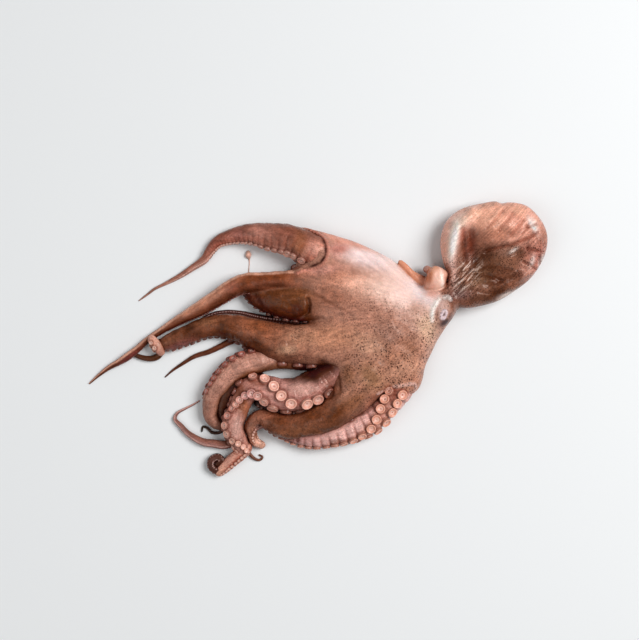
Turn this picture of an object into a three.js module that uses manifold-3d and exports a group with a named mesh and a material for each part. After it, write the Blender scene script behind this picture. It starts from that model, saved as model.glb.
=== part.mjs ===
// A whole raw octopus of about one kilogram, laid on its sucker side on a flat surface.
// It is one animal in one piece, so the model is one closed solid.
// Millimetres, +Z up. Seen from above, the sac-like mantle lies at +X +Y and the eight arms trail towards -X.
// The origin is on the surface it rests on, under the middle of its outline.
import * as THREE from "three";
import { mergeVertices } from "three/addons/utils/BufferGeometryUtils.js";
import Module from "manifold-3d";

const wasm = await Module();
wasm.setup();

// Driving sizes
const SKIN_COLOUR = 0x9c6a4c;
const SUCKER_SHARE = 0.37; // radius of a sucker over the half width of its arm
const SUCKER_PITCH = 2.2; // spacing of suckers in a row over their radius
const ROW_ANGLE = THREE.MathUtils.degToRad(35); // each of the two rows stands this far off the arm's midline
const SMALLEST_SUCKER = 2.4; // radius under which a sucker is too fine for this solid
const SUCKER_SIDES = 6;
const LOWEST_FACING = -0.45; // upward part of a sucker's direction under which it would be pressed flat
const SAG = 0.08; // share of its half height by which an arm flattens under its own weight
const RING_SPACING = 1.4; // distance between rings of an arm over its half width
const RING_LIMITS = [7, 16]; // shortest and longest distance between rings
const WEB_HEIGHT = 40; // top of the web over the bases of the arms
const MANTLE_HEIGHT = 41;
const CUSHION_LEVELS = [-40, 0, 28, 50, 68, 80, 87]; // degrees up a cushion's side at which it has a ring
const GROUND_BLOCK = [900, 900, 60]; // sizes of the block that trims what would reach under the surface

// Arms
// A station is [x, y, half width, lift, turn]: a place on the arm's middle line seen from above, how wide it is there,
// how far its underside is off the ground, and the way its suckers face. The turn is in degrees from straight down,
// positive to the right of the way the arm runs, so 90 faces that side and 180 faces up.
// The flatness is the arm's height over its width.
const ARMS = {
  upperArm: {
    sides: 8,
    flatness: 1,
    suckers: [0.06, 0.62],
    stations: [
      [62, 48, 12, 3, 80],
      [32, 75, 14.5, 0.5, 84],
      [12, 87, 15.5, 0, 84],
      [-6, 94.5, 15.3, 0, 86],
      [-27, 102, 14.4, 0, 88],
      [-48, 104.8, 12.8, 0, 90],
      [-69, 107.4, 9.8, 0, 92],
      [-88, 104.5, 7.2, 0, 100],
      [-103, 99, 5.6, 0, 120],
      [-112, 90, 5.1, 0, 130],
      [-130, 71, 4, 0, 120],
      [-144.5, 63, 2.9, 0, 100],
      [-159, 54.5, 1.7, 0, 90],
      [-170, 48.5, 1.3, 0, 90],
      [-179.5, 40, 0.6, 0, 90],
    ],
  },
  ribbonArm: {
    sides: 8,
    flatness: 1.25,
    suckers: [0.3, 0.3],
    stations: [
      [70, 42, 12, 6, 10],
      [32, 56, 11, 5, 30],
      [2, 60, 10, 4, 45],
      [-28, 59.5, 9.2, 3, 55],
      [-56, 59, 8.6, 2, 62],
      [-75, 55.5, 7.6, 1, 70],
      [-88, 49, 7.2, 0.5, 75],
      [-100, 41, 6.6, 0, 75],
      [-113, 33.5, 5.3, 0, 75],
      [-125, 26.3, 4.2, 0, 75],
      [-144, 13.3, 3.1, 0, 75],
      [-161, 2.4, 2.7, 0, 75],
      [-187, -15.5, 3.1, 0, 75],
      [-201, -24.3, 2.5, 0, 75],
      [-217, -32.5, 1.5, 0, 75],
      [-230, -44.3, 0.6, 0, 75],
    ],
  },
  foldedArm: {
    sides: 8,
    flatness: 1,
    suckers: [0.2, 1],
    stations: [
      [70, 28, 13, 6, 20],
      [32, 36, 14, 3, 30],
      [2, 39, 15, 1, 40],
      [-23, 40, 15, 0.5, 45],
      [-46, 43.5, 13, 1, 45],
      [-62, 46, 9.5, 1.5, 45],
      [-71, 45, 5.5, 2.5, 45],
    ],
  },
  foldedArmTip: {
    sides: 7,
    flatness: 1,
    suckers: [0, 0],
    stations: [
      [-66, 48, 6, 1.5, -60],
      [-68, 38, 5.5, 0.5, -70],
      [-58, 29, 5, 0, -80],
      [-47, 22, 4.6, 0, -60],
      [-56, 14, 4.2, 0, 0],
      [-72, 6, 3.8, 0, 20],
      [-87, -0.5, 3.3, 0, 30],
      [-110, -11.5, 2.6, 0, 30],
      [-124, -16, 2.3, 0, 30],
      [-134, -22, 1.8, 0, 30],
      [-146, -30, 1.2, 0, 30],
      [-154, -37, 0.6, 0, 30],
    ],
  },
  brownArm: {
    sides: 8,
    flatness: 0.88,
    suckers: [0.36, 0.8],
    stations: [
      [72, 15, 16, 8, 0],
      [37, 4, 19, 4, 10],
      [7, -3, 20.5, 2, 18],
      [-18, -3, 19, 1, 20],
      [-38, -1, 18, 0.5, 22],
      [-57, 3.5, 16, 0, 22],
      [-70, 8, 14.2, 0, 20],
      [-83, 13, 12.8, 0, 15],
      [-96, 15.7, 11.8, 0, 10],
      [-108, 15, 10.8, 0, 8],
      [-121, 11, 9.7, 0, 8],
      [-135, 5, 9.2, 0, 10],
      [-148, -1, 8.6, 0, 10],
      [-158, -5, 6.6, 0, 10],
    ],
  },
  brownArmTip: {
    sides: 7,
    flatness: 0.95,
    suckers: [0, 0.5],
    stations: [
      [-152, -4, 5, 1.5, 180],
      [-161, 2, 5.4, 4.5, 180],
      [-166, -3, 5.2, 5.5, 180],
      [-162, -9, 4.8, 4, 180],
      [-160, -14, 3.8, 2, 180],
      [-168, -17.5, 2.9, 0.5, 120],
      [-177, -17, 2.4, 0, 90],
      [-185, -15.5, 1.6, 0, 90],
    ],
  },
  curledArm: {
    sides: 8,
    flatness: 1.04,
    suckers: [0.25, 0.97],
    stations: [
      [62, 0, 11, 2, -60],
      [27, -16, 12, 0.5, -70],
      [-8, -22, 12.5, 0, -85],
      [-38, -21, 13, 0, -90],
      [-58, -20.5, 13, 0, -95],
      [-77, -26, 12, 0, -98],
      [-89, -33.5, 10.9, 0, -98],
      [-98, -44, 10, 0, -98],
      [-105, -54, 9, 0, -98],
      [-108, -66, 7.8, 0, -98],
      [-107.5, -76, 6.6, 0, -98],
      [-102, -83, 5.4, 0, -98],
      [-95, -87, 4.2, 0, -98],
    ],
  },
  curledArmTip: {
    sides: 6,
    flatness: 1,
    suckers: [0, 0],
    stations: [
      [-92, -88, 2.4, 0, 0],
      [-98, -92, 1.7, 0, 0],
      [-106, -93, 1.5, 0, 0],
      [-112, -88, 1.3, 0, 0],
      [-116, -87, 1.1, 0, 0],
      [-117, -91.5, 0.9, 0, 0],
    ],
  },
  upturnedArm: {
    sides: 8,
    flatness: 0.97,
    suckers: [0.18, 1],
    stations: [
      [62, -10, 14, 2, 40],
      [27, -24, 15, 1, 50],
      [10, -35, 15.5, 0.5, 66],
      [-3, -43.5, 17, 0, 80],
      [-20, -52, 17, 0, 102],
      [-30, -51.5, 14.5, 1, 115],
      [-39, -50.7, 13.8, 2, 136],
      [-49, -48.5, 12.9, 2, 160],
      [-60, -47, 12.8, 2, 186],
      [-70, -49, 12.3, 2, 202],
      [-76, -58, 11, 3, 230],
      [-79, -67, 10.2, 3.5, 242],
      [-82.5, -75, 10.6, 3.5, 248],
      [-85.3, -83, 10.7, 3, 250],
      [-84.5, -90, 10, 3, 248],
      [-81.5, -96.5, 9, 2.5, 235],
      [-77.5, -103.5, 8, 2, 215],
      [-74.5, -110.5, 6.4, 1.5, 205],
    ],
  },
  upturnedArmFoldedEnd: {
    sides: 8,
    flatness: 1,
    suckers: [0, 1],
    stations: [
      [-73, -109, 6, 1.5, 110],
      [-80, -114, 6.3, 1, 108],
      [-87, -120, 6.1, 0.5, 106],
      [-94, -127, 5.6, 0, 104],
      [-99.5, -132, 4.8, 0, 100],
    ],
  },
  upturnedArmTip: {
    sides: 6,
    flatness: 1,
    suckers: [0, 0],
    stations: [
      [-99, -132, 3.8, 0, 150],
      [-106, -130, 3.6, 0, 160],
      [-109, -123, 3.2, 0, 170],
      [-105, -117.5, 2.8, 0.5, 170],
      [-98, -116, 2.3, 1, 170],
      [-93, -118.5, 1.8, 1, 170],
    ],
  },
  lowerArm: {
    sides: 8,
    flatness: 0.92,
    suckers: [0.36, 0.86],
    stations: [
      [66, -8, 17, 3, 10],
      [42, -37, 19.5, 4, 18],
      [17, -70.5, 16.5, 3.5, 25],
      [4.5, -78, 15.4, 3, 28],
      [-9.5, -83, 13.2, 3, 30],
      [-24.5, -86, 12.2, 3, 30],
      [-37.5, -84.7, 11.6, 2.5, 28],
      [-49, -80, 9.4, 2.5, 20],
      [-57.5, -76.5, 7.4, 3, 15],
      [-66, -82, 6.6, 3, 20],
      [-68, -89, 6.2, 2, 30],
      [-66.3, -97.5, 5.8, 1, 60],
      [-62.5, -103.5, 5.3, 0.5, 100],
      [-56, -108.5, 4, 0, 120],
    ],
  },
  lowerArmTip: {
    sides: 6,
    flatness: 1,
    suckers: [0, 0],
    stations: [
      [-73, -108, 2.2, 1.5, 90],
      [-69, -114, 1.8, 0, 90],
      [-64, -119, 1.6, 0, 90],
      [-58.5, -120.5, 1.3, 0, 90],
      [-56, -117.5, 1.1, 0, 90],
      [-59, -115.5, 0.9, 0, 90],
    ],
  },
  outerArm: {
    sides: 8,
    flatness: 0.96,
    suckers: [0.1, 0.72],
    stations: [
      [80, -14, 13, 1.5, 200],
      [88, -32, 13, 0.5, 190],
      [83, -50, 14, 0.5, 172],
      [72, -66, 14.2, 0, 158],
      [61, -78, 14, 0, 148],
      [47, -87, 13.3, 0, 128],
      [32, -92.5, 12.4, 0, 108],
      [14, -96.5, 11.3, 0, 98],
      [-2, -97.8, 10.2, 0, 95],
      [-18, -96.5, 8.8, 0, 95],
      [-32, -92.5, 7.2, 0, 95],
      [-45, -86, 5.8, 0, 95],
    ],
  },
  outerArmTip: {
    sides: 7,
    flatness: 1,
    suckers: [0, 0],
    stations: [
      [-40, -89, 5, 0, 60],
      [-56, -80, 4.6, 0, 60],
      [-67, -86, 4.4, 0, 60],
      [-78, -97, 4.2, 0, 60],
      [-97, -104.3, 3.9, 0, 60],
      [-107, -103.3, 3.8, 0, 60],
      [-117, -100.5, 3.3, 0, 60],
      [-127.5, -97.5, 2.9, 0, 60],
      [-138, -90.5, 2.3, 0, 60],
      [-144.5, -83.5, 2, 0, 60],
      [-146.3, -77.5, 1.8, 0, 60],
      [-141, -72.5, 1.6, 0, 60],
      [-132, -68, 1.4, 0, 60],
      [-125, -62.4, 1.1, 0, 60],
      [-120.5, -60, 0.7, 0, 60],
    ],
  },
};

// Web, head and mantle, each a rounded cushion inside an outline seen from above
const WEB = {
  sides: 40,
  centre: [60, 10],
  outline: [
    [129, 36],
    [122, 12],
    [112, -10],
    [104, -30],
    [99, -46],
    [84, -48],
    [66, -58],
    [46, -73],
    [24, -76],
    [20, -50],
    [21, -32],
    [6, -20],
    [-8, -6],
    [-4, 22],
    [-7, 36],
    [-3, 52],
    [-8, 66],
    [4, 71],
    [10, 84],
    [6, 100],
    [22, 100],
    [42, 92],
    [64, 82],
    [84, 70],
    [100, 56],
    [114, 47],
  ],
  middle: 8,
  top: WEB_HEIGHT,
  bottom: -2,
  roundness: 0.9,
};
const HEAD = {
  sides: 16,
  centre: [122, 32],
  outline: [
    [143, 42],
    [140, 28],
    [128, 16],
    [112, 6],
    [96, 18],
    [94, 38],
    [106, 50],
    [122, 54],
    [136, 52],
  ],
  middle: 12,
  top: 33,
  bottom: -2,
  roundness: 0.6,
};
const MANTLE = {
  sides: 34,
  centre: [176, 92],
  outline: [
    [229, 102],
    [226, 86],
    [218, 71],
    [208, 60],
    [195, 52],
    [179, 43],
    [163, 38],
    [143, 33],
    [133, 36],
    [130, 48],
    [129, 64],
    [124.5, 78],
    [122, 95],
    [123.5, 108],
    [128, 119],
    [137, 128],
    [150, 134],
    [164, 137],
    [178, 139],
    [190, 138],
    [207, 135],
    [217, 127],
    [225.5, 115],
  ],
  middle: 16,
  top: MANTLE_HEIGHT,
  bottom: -2,
  roundness: 0.6,
  dents: [
    // x, y, depth, length, width, angle in degrees
    [158, 84, 16, 26, 20, 20],
    [196, 84, 8, 20, 10, 20],
    [150, 104, 7, 7, 20, 10],
  ],
};

// Pieces of the throat that show between web and mantle
const FUNNEL = {
  sides: 8,
  flatness: 0.95,
  stations: [
    [106, 44, 9, 10, 0],
    [112, 54, 9, 14, 0],
    [116, 64, 8.6, 14, 0],
    [118.5, 71, 7.6, 14, 0],
  ],
};
const FUNNEL_FLAP = {
  sides: 7,
  flatness: 0.9,
  stations: [
    [104, 56, 4.5, 9, 0],
    [96, 65, 3.6, 11, 0],
    [88, 73, 3.2, 11, 0],
    [82.5, 78, 3, 11, 0],
  ],
};
const EYE = { centre: [124, 26, 31], radius: 8.5 };

/** A geometry's triangles as a solid that can be joined and cut. */
function solidOf(geometry) {
  const bare = geometry.index ? geometry.clone() : geometry;
  bare.deleteAttribute("normal");
  bare.deleteAttribute("uv");
  const merged = mergeVertices(bare, 1e-4);
  return new wasm.Manifold(
    new wasm.Mesh({
      numProp: 3,
      vertProperties: new Float32Array(merged.attributes.position.array),
      triVerts: new Uint32Array(merged.index.array),
    }),
  );
}

/** A solid's triangles as a three.js geometry. */
function geometryOf(solid) {
  const { vertProperties, triVerts } = solid.getMesh();
  const geometry = new THREE.BufferGeometry();
  geometry.setAttribute("position", new THREE.BufferAttribute(vertProperties, 3));
  geometry.setIndex(new THREE.BufferAttribute(triVerts, 1));
  geometry.computeVertexNormals();
  return geometry;
}

/** Closed skin over rings of equal length, from the pole before the first ring to the pole after the last. */
function skinOver(rings, firstPole, lastPole) {
  const sides = rings[0].length;
  const points = [firstPole, ...rings.flat(), lastPole];
  const at = (ring, side) => 1 + ring * sides + (side % sides);
  const last = points.length - 1;
  const triangles = [];
  for (let side = 0; side < sides; side++) {
    triangles.push(0, at(0, side + 1), at(0, side));
    triangles.push(last, at(rings.length - 1, side), at(rings.length - 1, side + 1));
    for (let ring = 0; ring + 1 < rings.length; ring++) {
      const [a, b] = [at(ring, side), at(ring, side + 1)];
      const [c, d] = [at(ring + 1, side), at(ring + 1, side + 1)];
      triangles.push(a, b, c, b, d, c);
    }
  }
  const geometry = new THREE.BufferGeometry().setFromPoints(points);
  geometry.setIndex(triangles);
  return geometry;
}

/** The arm's frame and section sizes at a share of its length. */
function armAt({ route, sizes }, share) {
  const t = route.getUtoTmapping(share);
  const centre = route.getPoint(t);
  const along = route.getTangent(t);
  const { x: halfWidth, y: halfHeight, z: turn } = sizes.getPoint(t);
  const side = new THREE.Vector3(0, 0, 1).cross(along).normalize();
  const up = along.clone().cross(side);
  return { centre, along, side, up, halfWidth, halfHeight, turn: THREE.MathUtils.degToRad(turn) };
}

/** Where the skin of the arm is at an angle from straight down, and which way it faces there. */
function skinAt(frame, angle) {
  const sine = Math.sin(angle);
  const cosine = Math.cos(angle);
  const point = frame.centre
    .clone()
    .addScaledVector(frame.side, frame.halfWidth * sine)
    .addScaledVector(frame.up, -frame.halfHeight * cosine);
  const facing = new THREE.Vector3()
    .addScaledVector(frame.side, sine / frame.halfWidth)
    .addScaledVector(frame.up, -cosine / frame.halfHeight)
    .normalize();
  return { point, facing };
}

/** The smooth line and sizes through an arm's stations. */
function splinesOf({ stations, flatness }) {
  const points = stations.map(
    ([x, y, halfWidth, lift]) => new THREE.Vector3(x, y, lift + (1 - SAG) * flatness * halfWidth),
  );
  const sections = stations.map(
    ([, , halfWidth, , turn]) => new THREE.Vector3(halfWidth, flatness * halfWidth, turn),
  );
  const route = new THREE.CatmullRomCurve3(points);
  const sizes = new THREE.CatmullRomCurve3(sections, false, "catmullrom");
  return { route, sizes, length: route.getLength() };
}

/** A tapered tube with rounded ends along an arm, its rings closer together where it is thin. */
function armGeometry(arm) {
  const splines = splinesOf(arm);
  const frames = [];
  let distance = 0;
  while (distance < splines.length) {
    const frame = armAt(splines, distance / splines.length);
    frames.push(frame);
    distance += THREE.MathUtils.clamp(RING_SPACING * frame.halfWidth, ...RING_LIMITS);
  }
  const rings = frames.map((frame) =>
    Array.from({ length: arm.sides }, (_, side) => skinAt(frame, (2 * Math.PI * side) / arm.sides).point),
  );
  const start = frames[0];
  const end = armAt(splines, 1);
  const firstPole = start.centre.clone().addScaledVector(start.along, -start.halfWidth / 2);
  const lastPole = end.centre.clone().addScaledVector(end.along, end.halfWidth / 2);
  return skinOver(rings, firstPole, lastPole);
}

/** A cup on a short stalk, seen from the side as [radius, height] in radii of the cup. */
const SUCKER_PROFILE = [
  [0, -0.6],
  [1, 0.32],
  [0.7, 0.46],
  [0, 0.1],
];

/** The suckers of an arm in two rows that alternate, as solids. */
function suckersOf(arm) {
  const splines = splinesOf(arm);
  const [from, to] = arm.suckers.map((share) => share * splines.length);
  const cups = [];
  let distance = from;
  let row = 1;
  while (distance < to) {
    const frame = armAt(splines, distance / splines.length);
    const radius = SUCKER_SHARE * Math.min(frame.halfWidth, frame.halfHeight);
    const { point, facing } = skinAt(frame, frame.turn + row * ROW_ANGLE);
    if (radius >= SMALLEST_SUCKER && facing.z > LOWEST_FACING) {
      const profile = SUCKER_PROFILE.map(([r, h]) => new THREE.Vector2(r * radius, h * radius));
      const cup = new THREE.LatheGeometry(profile, SUCKER_SIDES);
      const upright = new THREE.Vector3(0, 1, 0);
      cup.applyQuaternion(new THREE.Quaternion().setFromUnitVectors(upright, facing));
      cup.translate(point.x, point.y, point.z);
      cups.push(solidOf(cup));
    }
    distance += (SUCKER_PITCH / 2) * radius;
    row = -row;
  }
  return cups;
}

/** How far the dents of a cushion sink its top at a place. */
function dentDepth(dents, x, y) {
  return (dents ?? []).reduce((depth, [dentX, dentY, deepest, length, width, degrees]) => {
    const angle = THREE.MathUtils.degToRad(degrees);
    const along = (x - dentX) * Math.cos(angle) + (y - dentY) * Math.sin(angle);
    const across = (y - dentY) * Math.cos(angle) - (x - dentX) * Math.sin(angle);
    return depth + deepest * Math.exp(-((along / length) ** 2) - (across / width) ** 2);
  }, 0);
}

/** A rounded cushion over an outline: its rings shrink towards the centre as they rise, and again as they fall. */
function cushionGeometry({ centre, outline, sides, middle, top, bottom, roundness, dents }) {
  const rim = new THREE.CatmullRomCurve3(
    outline.map(([x, y]) => new THREE.Vector3(x, y, 0)),
    true,
  );
  const heart = new THREE.Vector3(centre[0], centre[1], 0);
  const ringAt = (degrees) => {
    const angle = THREE.MathUtils.degToRad(degrees);
    const spread = Math.cos(angle) ** roundness;
    const rise = (angle > 0 ? top - middle : middle - bottom) * Math.sin(angle);
    return Array.from({ length: sides }, (_, side) => {
      const point = heart.clone().lerp(rim.getPoint(1 - side / sides), spread);
      const sink = angle > 0 ? dentDepth(dents, point.x, point.y) * Math.sin(angle) : 0;
      return point.setZ(middle + rise - sink);
    });
  };
  const poleAt = (z) => heart.clone().setZ(z);
  const summit = top - dentDepth(dents, ...centre);
  return skinOver(CUSHION_LEVELS.map(ringAt), poleAt(bottom), poleAt(summit));
}

/** The lens of the eye, a bead half sunk in its socket. */
function eyeGeometry() {
  const bead = new THREE.SphereGeometry(EYE.radius, 10, 6);
  bead.translate(...EYE.centre);
  return bead;
}

const pieces = [
  ...Object.values(ARMS).flatMap((arm) => [solidOf(armGeometry(arm)), ...suckersOf(arm)]),
  ...[FUNNEL, FUNNEL_FLAP].map((tube) => solidOf(armGeometry(tube))),
  ...[WEB, HEAD, MANTLE].map((cushion) => solidOf(cushionGeometry(cushion))),
  solidOf(eyeGeometry()),
];
const ground = new THREE.BoxGeometry(...GROUND_BLOCK);
ground.translate(0, 0, -GROUND_BLOCK[2] / 2);
const animal = wasm.Manifold.union(pieces).subtract(solidOf(ground));

const octopus = new THREE.Mesh(
  geometryOf(animal),
  new THREE.MeshStandardMaterial({ color: SKIN_COLOUR, roughness: 0.35, metalness: 0 }),
);
octopus.name = "octopus";

const model = new THREE.Group();
model.add(octopus);

export default model;
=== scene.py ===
"""Looks of a whole raw octopus that lies on its sucker side, seen from straight above.

The web, the head, the mantle and the arms that grow out of the web without a break are one skin,
blended as a distance field and meshed. The arms that come out from under the web's edge are swept
tubes. Suckers are placed on the arms in two rows by Geometry Nodes. Lengths are in millimetres until a
mesh is made, which is in metres.
"""

import logging
import math
from dataclasses import dataclass

import bpy
import numpy as np
import openvdb
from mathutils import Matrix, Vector


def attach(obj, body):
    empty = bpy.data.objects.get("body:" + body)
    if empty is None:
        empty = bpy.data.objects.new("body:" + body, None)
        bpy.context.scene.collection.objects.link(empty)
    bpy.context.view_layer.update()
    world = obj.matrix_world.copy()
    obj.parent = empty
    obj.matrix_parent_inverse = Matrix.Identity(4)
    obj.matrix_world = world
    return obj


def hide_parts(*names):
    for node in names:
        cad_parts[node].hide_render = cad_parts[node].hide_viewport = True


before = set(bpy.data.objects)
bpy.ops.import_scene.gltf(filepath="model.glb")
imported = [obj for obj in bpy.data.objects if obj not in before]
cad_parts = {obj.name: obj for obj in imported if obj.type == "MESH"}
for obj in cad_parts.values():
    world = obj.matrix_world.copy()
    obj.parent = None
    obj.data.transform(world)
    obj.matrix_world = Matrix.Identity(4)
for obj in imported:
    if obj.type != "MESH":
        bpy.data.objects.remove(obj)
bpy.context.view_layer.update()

LOG = logging.getLogger("octopus")
MM = 0.001
NODE = "octopus"
BODY = "root"

# The camera looks straight down, and one millimetre at the sharp height is one pixel of the photograph.
PHOTO_WIDTH = 639
CAMERA_HEIGHT = 1600.0
SHARP_HEIGHT = 15.0
CAMERA_X = 1.5
CAMERA_Y = 20.5
SENSOR = 36.0

SAG = 0.08  # share of its half height by which an arm flattens under its own weight
SUCKER_SHARE = 0.37  # radius of a sucker over the half width of its arm
SUCKER_PITCH = 2.2  # spacing of suckers in a row over their radius
ROW_ANGLE = 35.0  # degrees by which each row of suckers stands off the middle of the arm's mouth side
SMALLEST_SUCKER = 0.45  # radius under which an arm's tip carries none
SMALLEST_GROOVED = 1.2  # radius of the smallest sucker with a dark groove round it
SKIN_STEP = 1.0  # edge of a cell of the distance field
KEPT_FACES = 0.60  # share of the body's faces that is left after thinning
CAP_RINGS = (0.2, 0.4, 0.58, 0.74, 0.87, 0.95)  # rings of an arm's rounded end, as shares of its length

SHEEN = np.array([0.006, 0.011, 0.013])  # light that the wet surface adds, taken off the painted colours
# what is left of red, green and blue where the flesh is in its own shadow
CROWDED_SHADE = (0.50, 0.36, 0.30)
BETWEEN_SUCKERS_SHADE = (0.50, 0.36, 0.34)
ROUND_A_SUCKER_SHADE = (0.42, 0.26, 0.22)
WEB_CREASE_SHADE = (0.6, 0.45, 0.4)
MANTLE_CREASE_SHADE = (0.50, 0.34, 0.30)
# places from which the web's streaks of colour and its fibres fan out
STREAK_HEART = (125, 30)
FIBRE_HEART = (135, 30)

Points = np.ndarray
Pair = tuple[float, float]
Triple = tuple[float, float, float]
Station = tuple[float, float, float, float, float]
Link = tuple[bpy.types.Node, str | int]


@dataclass(frozen=True)
class Swell:
    """A soft rise, or a hollow where its height is negative."""

    x: float
    y: float
    height: float
    length: float
    width: float
    turn: float = 0.0

    def share(self, x: Points, y: Points) -> Points:
        """How strongly it is felt at places, 1 in the middle."""
        cosine, sine = math.cos(math.radians(self.turn)), math.sin(math.radians(self.turn))
        along = (x - self.x) * cosine + (y - self.y) * sine
        across = (y - self.y) * cosine - (x - self.x) * sine
        return np.exp(-((along / self.length) ** 2) - (across / self.width) ** 2)

    def at(self, x: Points, y: Points) -> Points:
        """Height at places."""
        return self.height * self.share(x, y)


@dataclass(frozen=True)
class Dab:
    """A soft patch of colour, seen from above."""

    x: float
    y: float
    colour: str
    length: float
    width: float
    turn: float = 0.0
    strength: float = 1.0

    def share(self, x: Points, y: Points) -> Points:
        """How strongly it covers places."""
        form = Swell(self.x, self.y, 1.0, self.length, self.width, self.turn)
        return np.clip(1.3 * form.share(x, y), 0, 1) * self.strength


@dataclass(frozen=True)
class Stripe:
    """A line of another colour along an arm, raised where its height is positive.

    Its angle is in degrees from straight down, as a station's turn, and its half width in millimetres.
    """

    angle: float
    half_width: float
    height: float
    colour: str


@dataclass(frozen=True)
class Arm:
    """One arm, or one stretch of an arm between sharp folds.

    A station is (x, y, half width, lift, turn): a place on the middle line seen from above, how wide the arm
    is there, how far its underside is off the ground, and the way its suckers face, in degrees from straight
    down, positive to the left of the way the arm runs, seen from above.
    """

    name: str
    flatness: float
    stations: tuple[Station, ...]
    suckers: Pair = (0.0, 0.0)
    blended: bool = False
    thin_from: Pair | None = None
    takes_over: tuple[Pair, Pair] | None = None
    ribs: float = 0.0
    sucker_size: float = 1.0
    row_angle: float = ROW_ANGLE
    pitch: float = SUCKER_PITCH
    emerges: Pair | None = None
    wet: float = 0.3
    back: str = "8a5444"
    flank: str = "a86f60"
    oral: str = "c48a7c"
    tip: str = "8a5848"
    sucker: str = "dba092"
    dabs: tuple[Dab, ...] = ()
    sucker_dabs: tuple[Dab, ...] = ()
    stripes: tuple[Stripe, ...] = ()

    @property
    def free(self) -> bool:
        """Whether some of it has a skin of its own."""
        return not self.blended or self.thin_from is not None


@dataclass
class Course:
    """An arm sampled at even steps along its middle line."""

    distance: Points
    centre: Points
    along: Points
    side: Points
    up: Points
    half_width: Points
    half_height: Points
    turn: Points

    @property
    def length(self) -> float:
        """Length of the middle line."""
        return float(self.distance[-1])

    def skin(self, index: Points, angle: Points) -> tuple[Points, Points]:
        """Points and outward directions of the arm's surface.

        Args:
            index: Sample numbers along the course.
            angle: Angles round the arm, from straight down, in radians.

        Returns:
            The points and the directions, one row for each pair of index and angle.
        """
        sine, cosine = np.sin(angle)[:, None], np.cos(angle)[:, None]
        width, height = self.half_width[index][:, None], self.half_height[index][:, None]
        side, up = self.side[index], self.up[index]
        points = self.centre[index] + side * width * sine - up * height * cosine
        facing = side * sine / width - up * cosine / height
        return points, facing / np.linalg.norm(facing, axis=1)[:, None]


def spline(route: Points, sections: Points, per_span: int = 40) -> tuple[Points, Points]:
    """Centripetal curve through stations.

    Args:
        route: Places that the curve goes through.
        sections: Other values that are carried along with it.
        per_span: Samples between two stations.

    Returns:
        The sampled places and the sampled values.
    """
    values = np.hstack([route, sections])
    values = np.vstack([2 * values[0] - values[1], values, 2 * values[-1] - values[-2]])
    knots = np.sqrt(np.linalg.norm(np.diff(values[:, :3], axis=0), axis=1))[:, None]
    before, here, after, beyond = values[:-3], values[1:-2], values[2:-1], values[3:]
    k0, k1, k2 = knots[:-2], knots[1:-1], knots[2:]
    leave = ((here - before) / k0 - (after - before) / (k0 + k1) + (after - here) / k1) * k1
    arrive = ((after - here) / k1 - (beyond - here) / (k1 + k2) + (beyond - after) / k2) * k1
    t = (np.arange(per_span) / per_span)[None, :, None]
    here, after, leave, arrive = (part[:, None, :] for part in (here, after, leave, arrive))
    cubic = (
        here * (2 * t**3 - 3 * t**2 + 1)
        + leave * (t**3 - 2 * t**2 + t)
        + after * (3 * t**2 - 2 * t**3)
        + arrive * (t**3 - t**2)
    )
    samples = np.vstack([cubic.reshape(-1, values.shape[1]), values[-2]])
    return samples[:, :3], samples[:, 3:]


def course_of(arm: Arm, step: float, swell: float = 0.0) -> Course:
    """Samples an arm at even steps.

    Args:
        arm: The arm.
        step: Distance between samples.
        swell: Thickness added all round.

    Returns:
        The sampled arm.
    """
    stations = np.array(arm.stations, float)
    height = arm.flatness * stations[:, 2]
    route = np.column_stack([stations[:, :2], stations[:, 3] + (1 - SAG) * height])
    sections = np.column_stack([stations[:, 2], height, np.radians(stations[:, 4])])
    places, values = spline(route, sections)
    reach = np.concatenate([[0], np.cumsum(np.linalg.norm(np.diff(places, axis=0), axis=1))])
    count = max(int(reach[-1] / step), 4)
    distance = np.linspace(0, reach[-1], count + 1)
    table = np.column_stack([places, values])
    table = np.column_stack([np.interp(distance, reach, column) for column in table.T])
    centre = table[:, :3]
    along = np.gradient(centre, axis=0)
    along /= np.linalg.norm(along, axis=1)[:, None]
    side = np.cross([0.0, 0.0, 1.0], along)
    side /= np.linalg.norm(side, axis=1)[:, None]
    up = np.cross(along, side)
    return Course(distance, centre, along, side, up, table[:, 3] + swell, table[:, 4] + swell, table[:, 5])


# painted shade along the web's edge where it lies over the bulb of the upper arm
WEB_RIM_SHADE = (
    Dab(-1, 107, "4a1f18", 6.5, 1.3, -31), Dab(6, 99, "43201a", 6, 1.4, -68, 1.0),
    Dab(7.8, 90, "3c1a16", 1.4, 6, 0, 1.0), Dab(5, 80.5, "3c1a16", 5, 1.4, 54, 1.0),
    Dab(-3, 75, "4a241c", 6, 1.3, 22),
)

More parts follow.
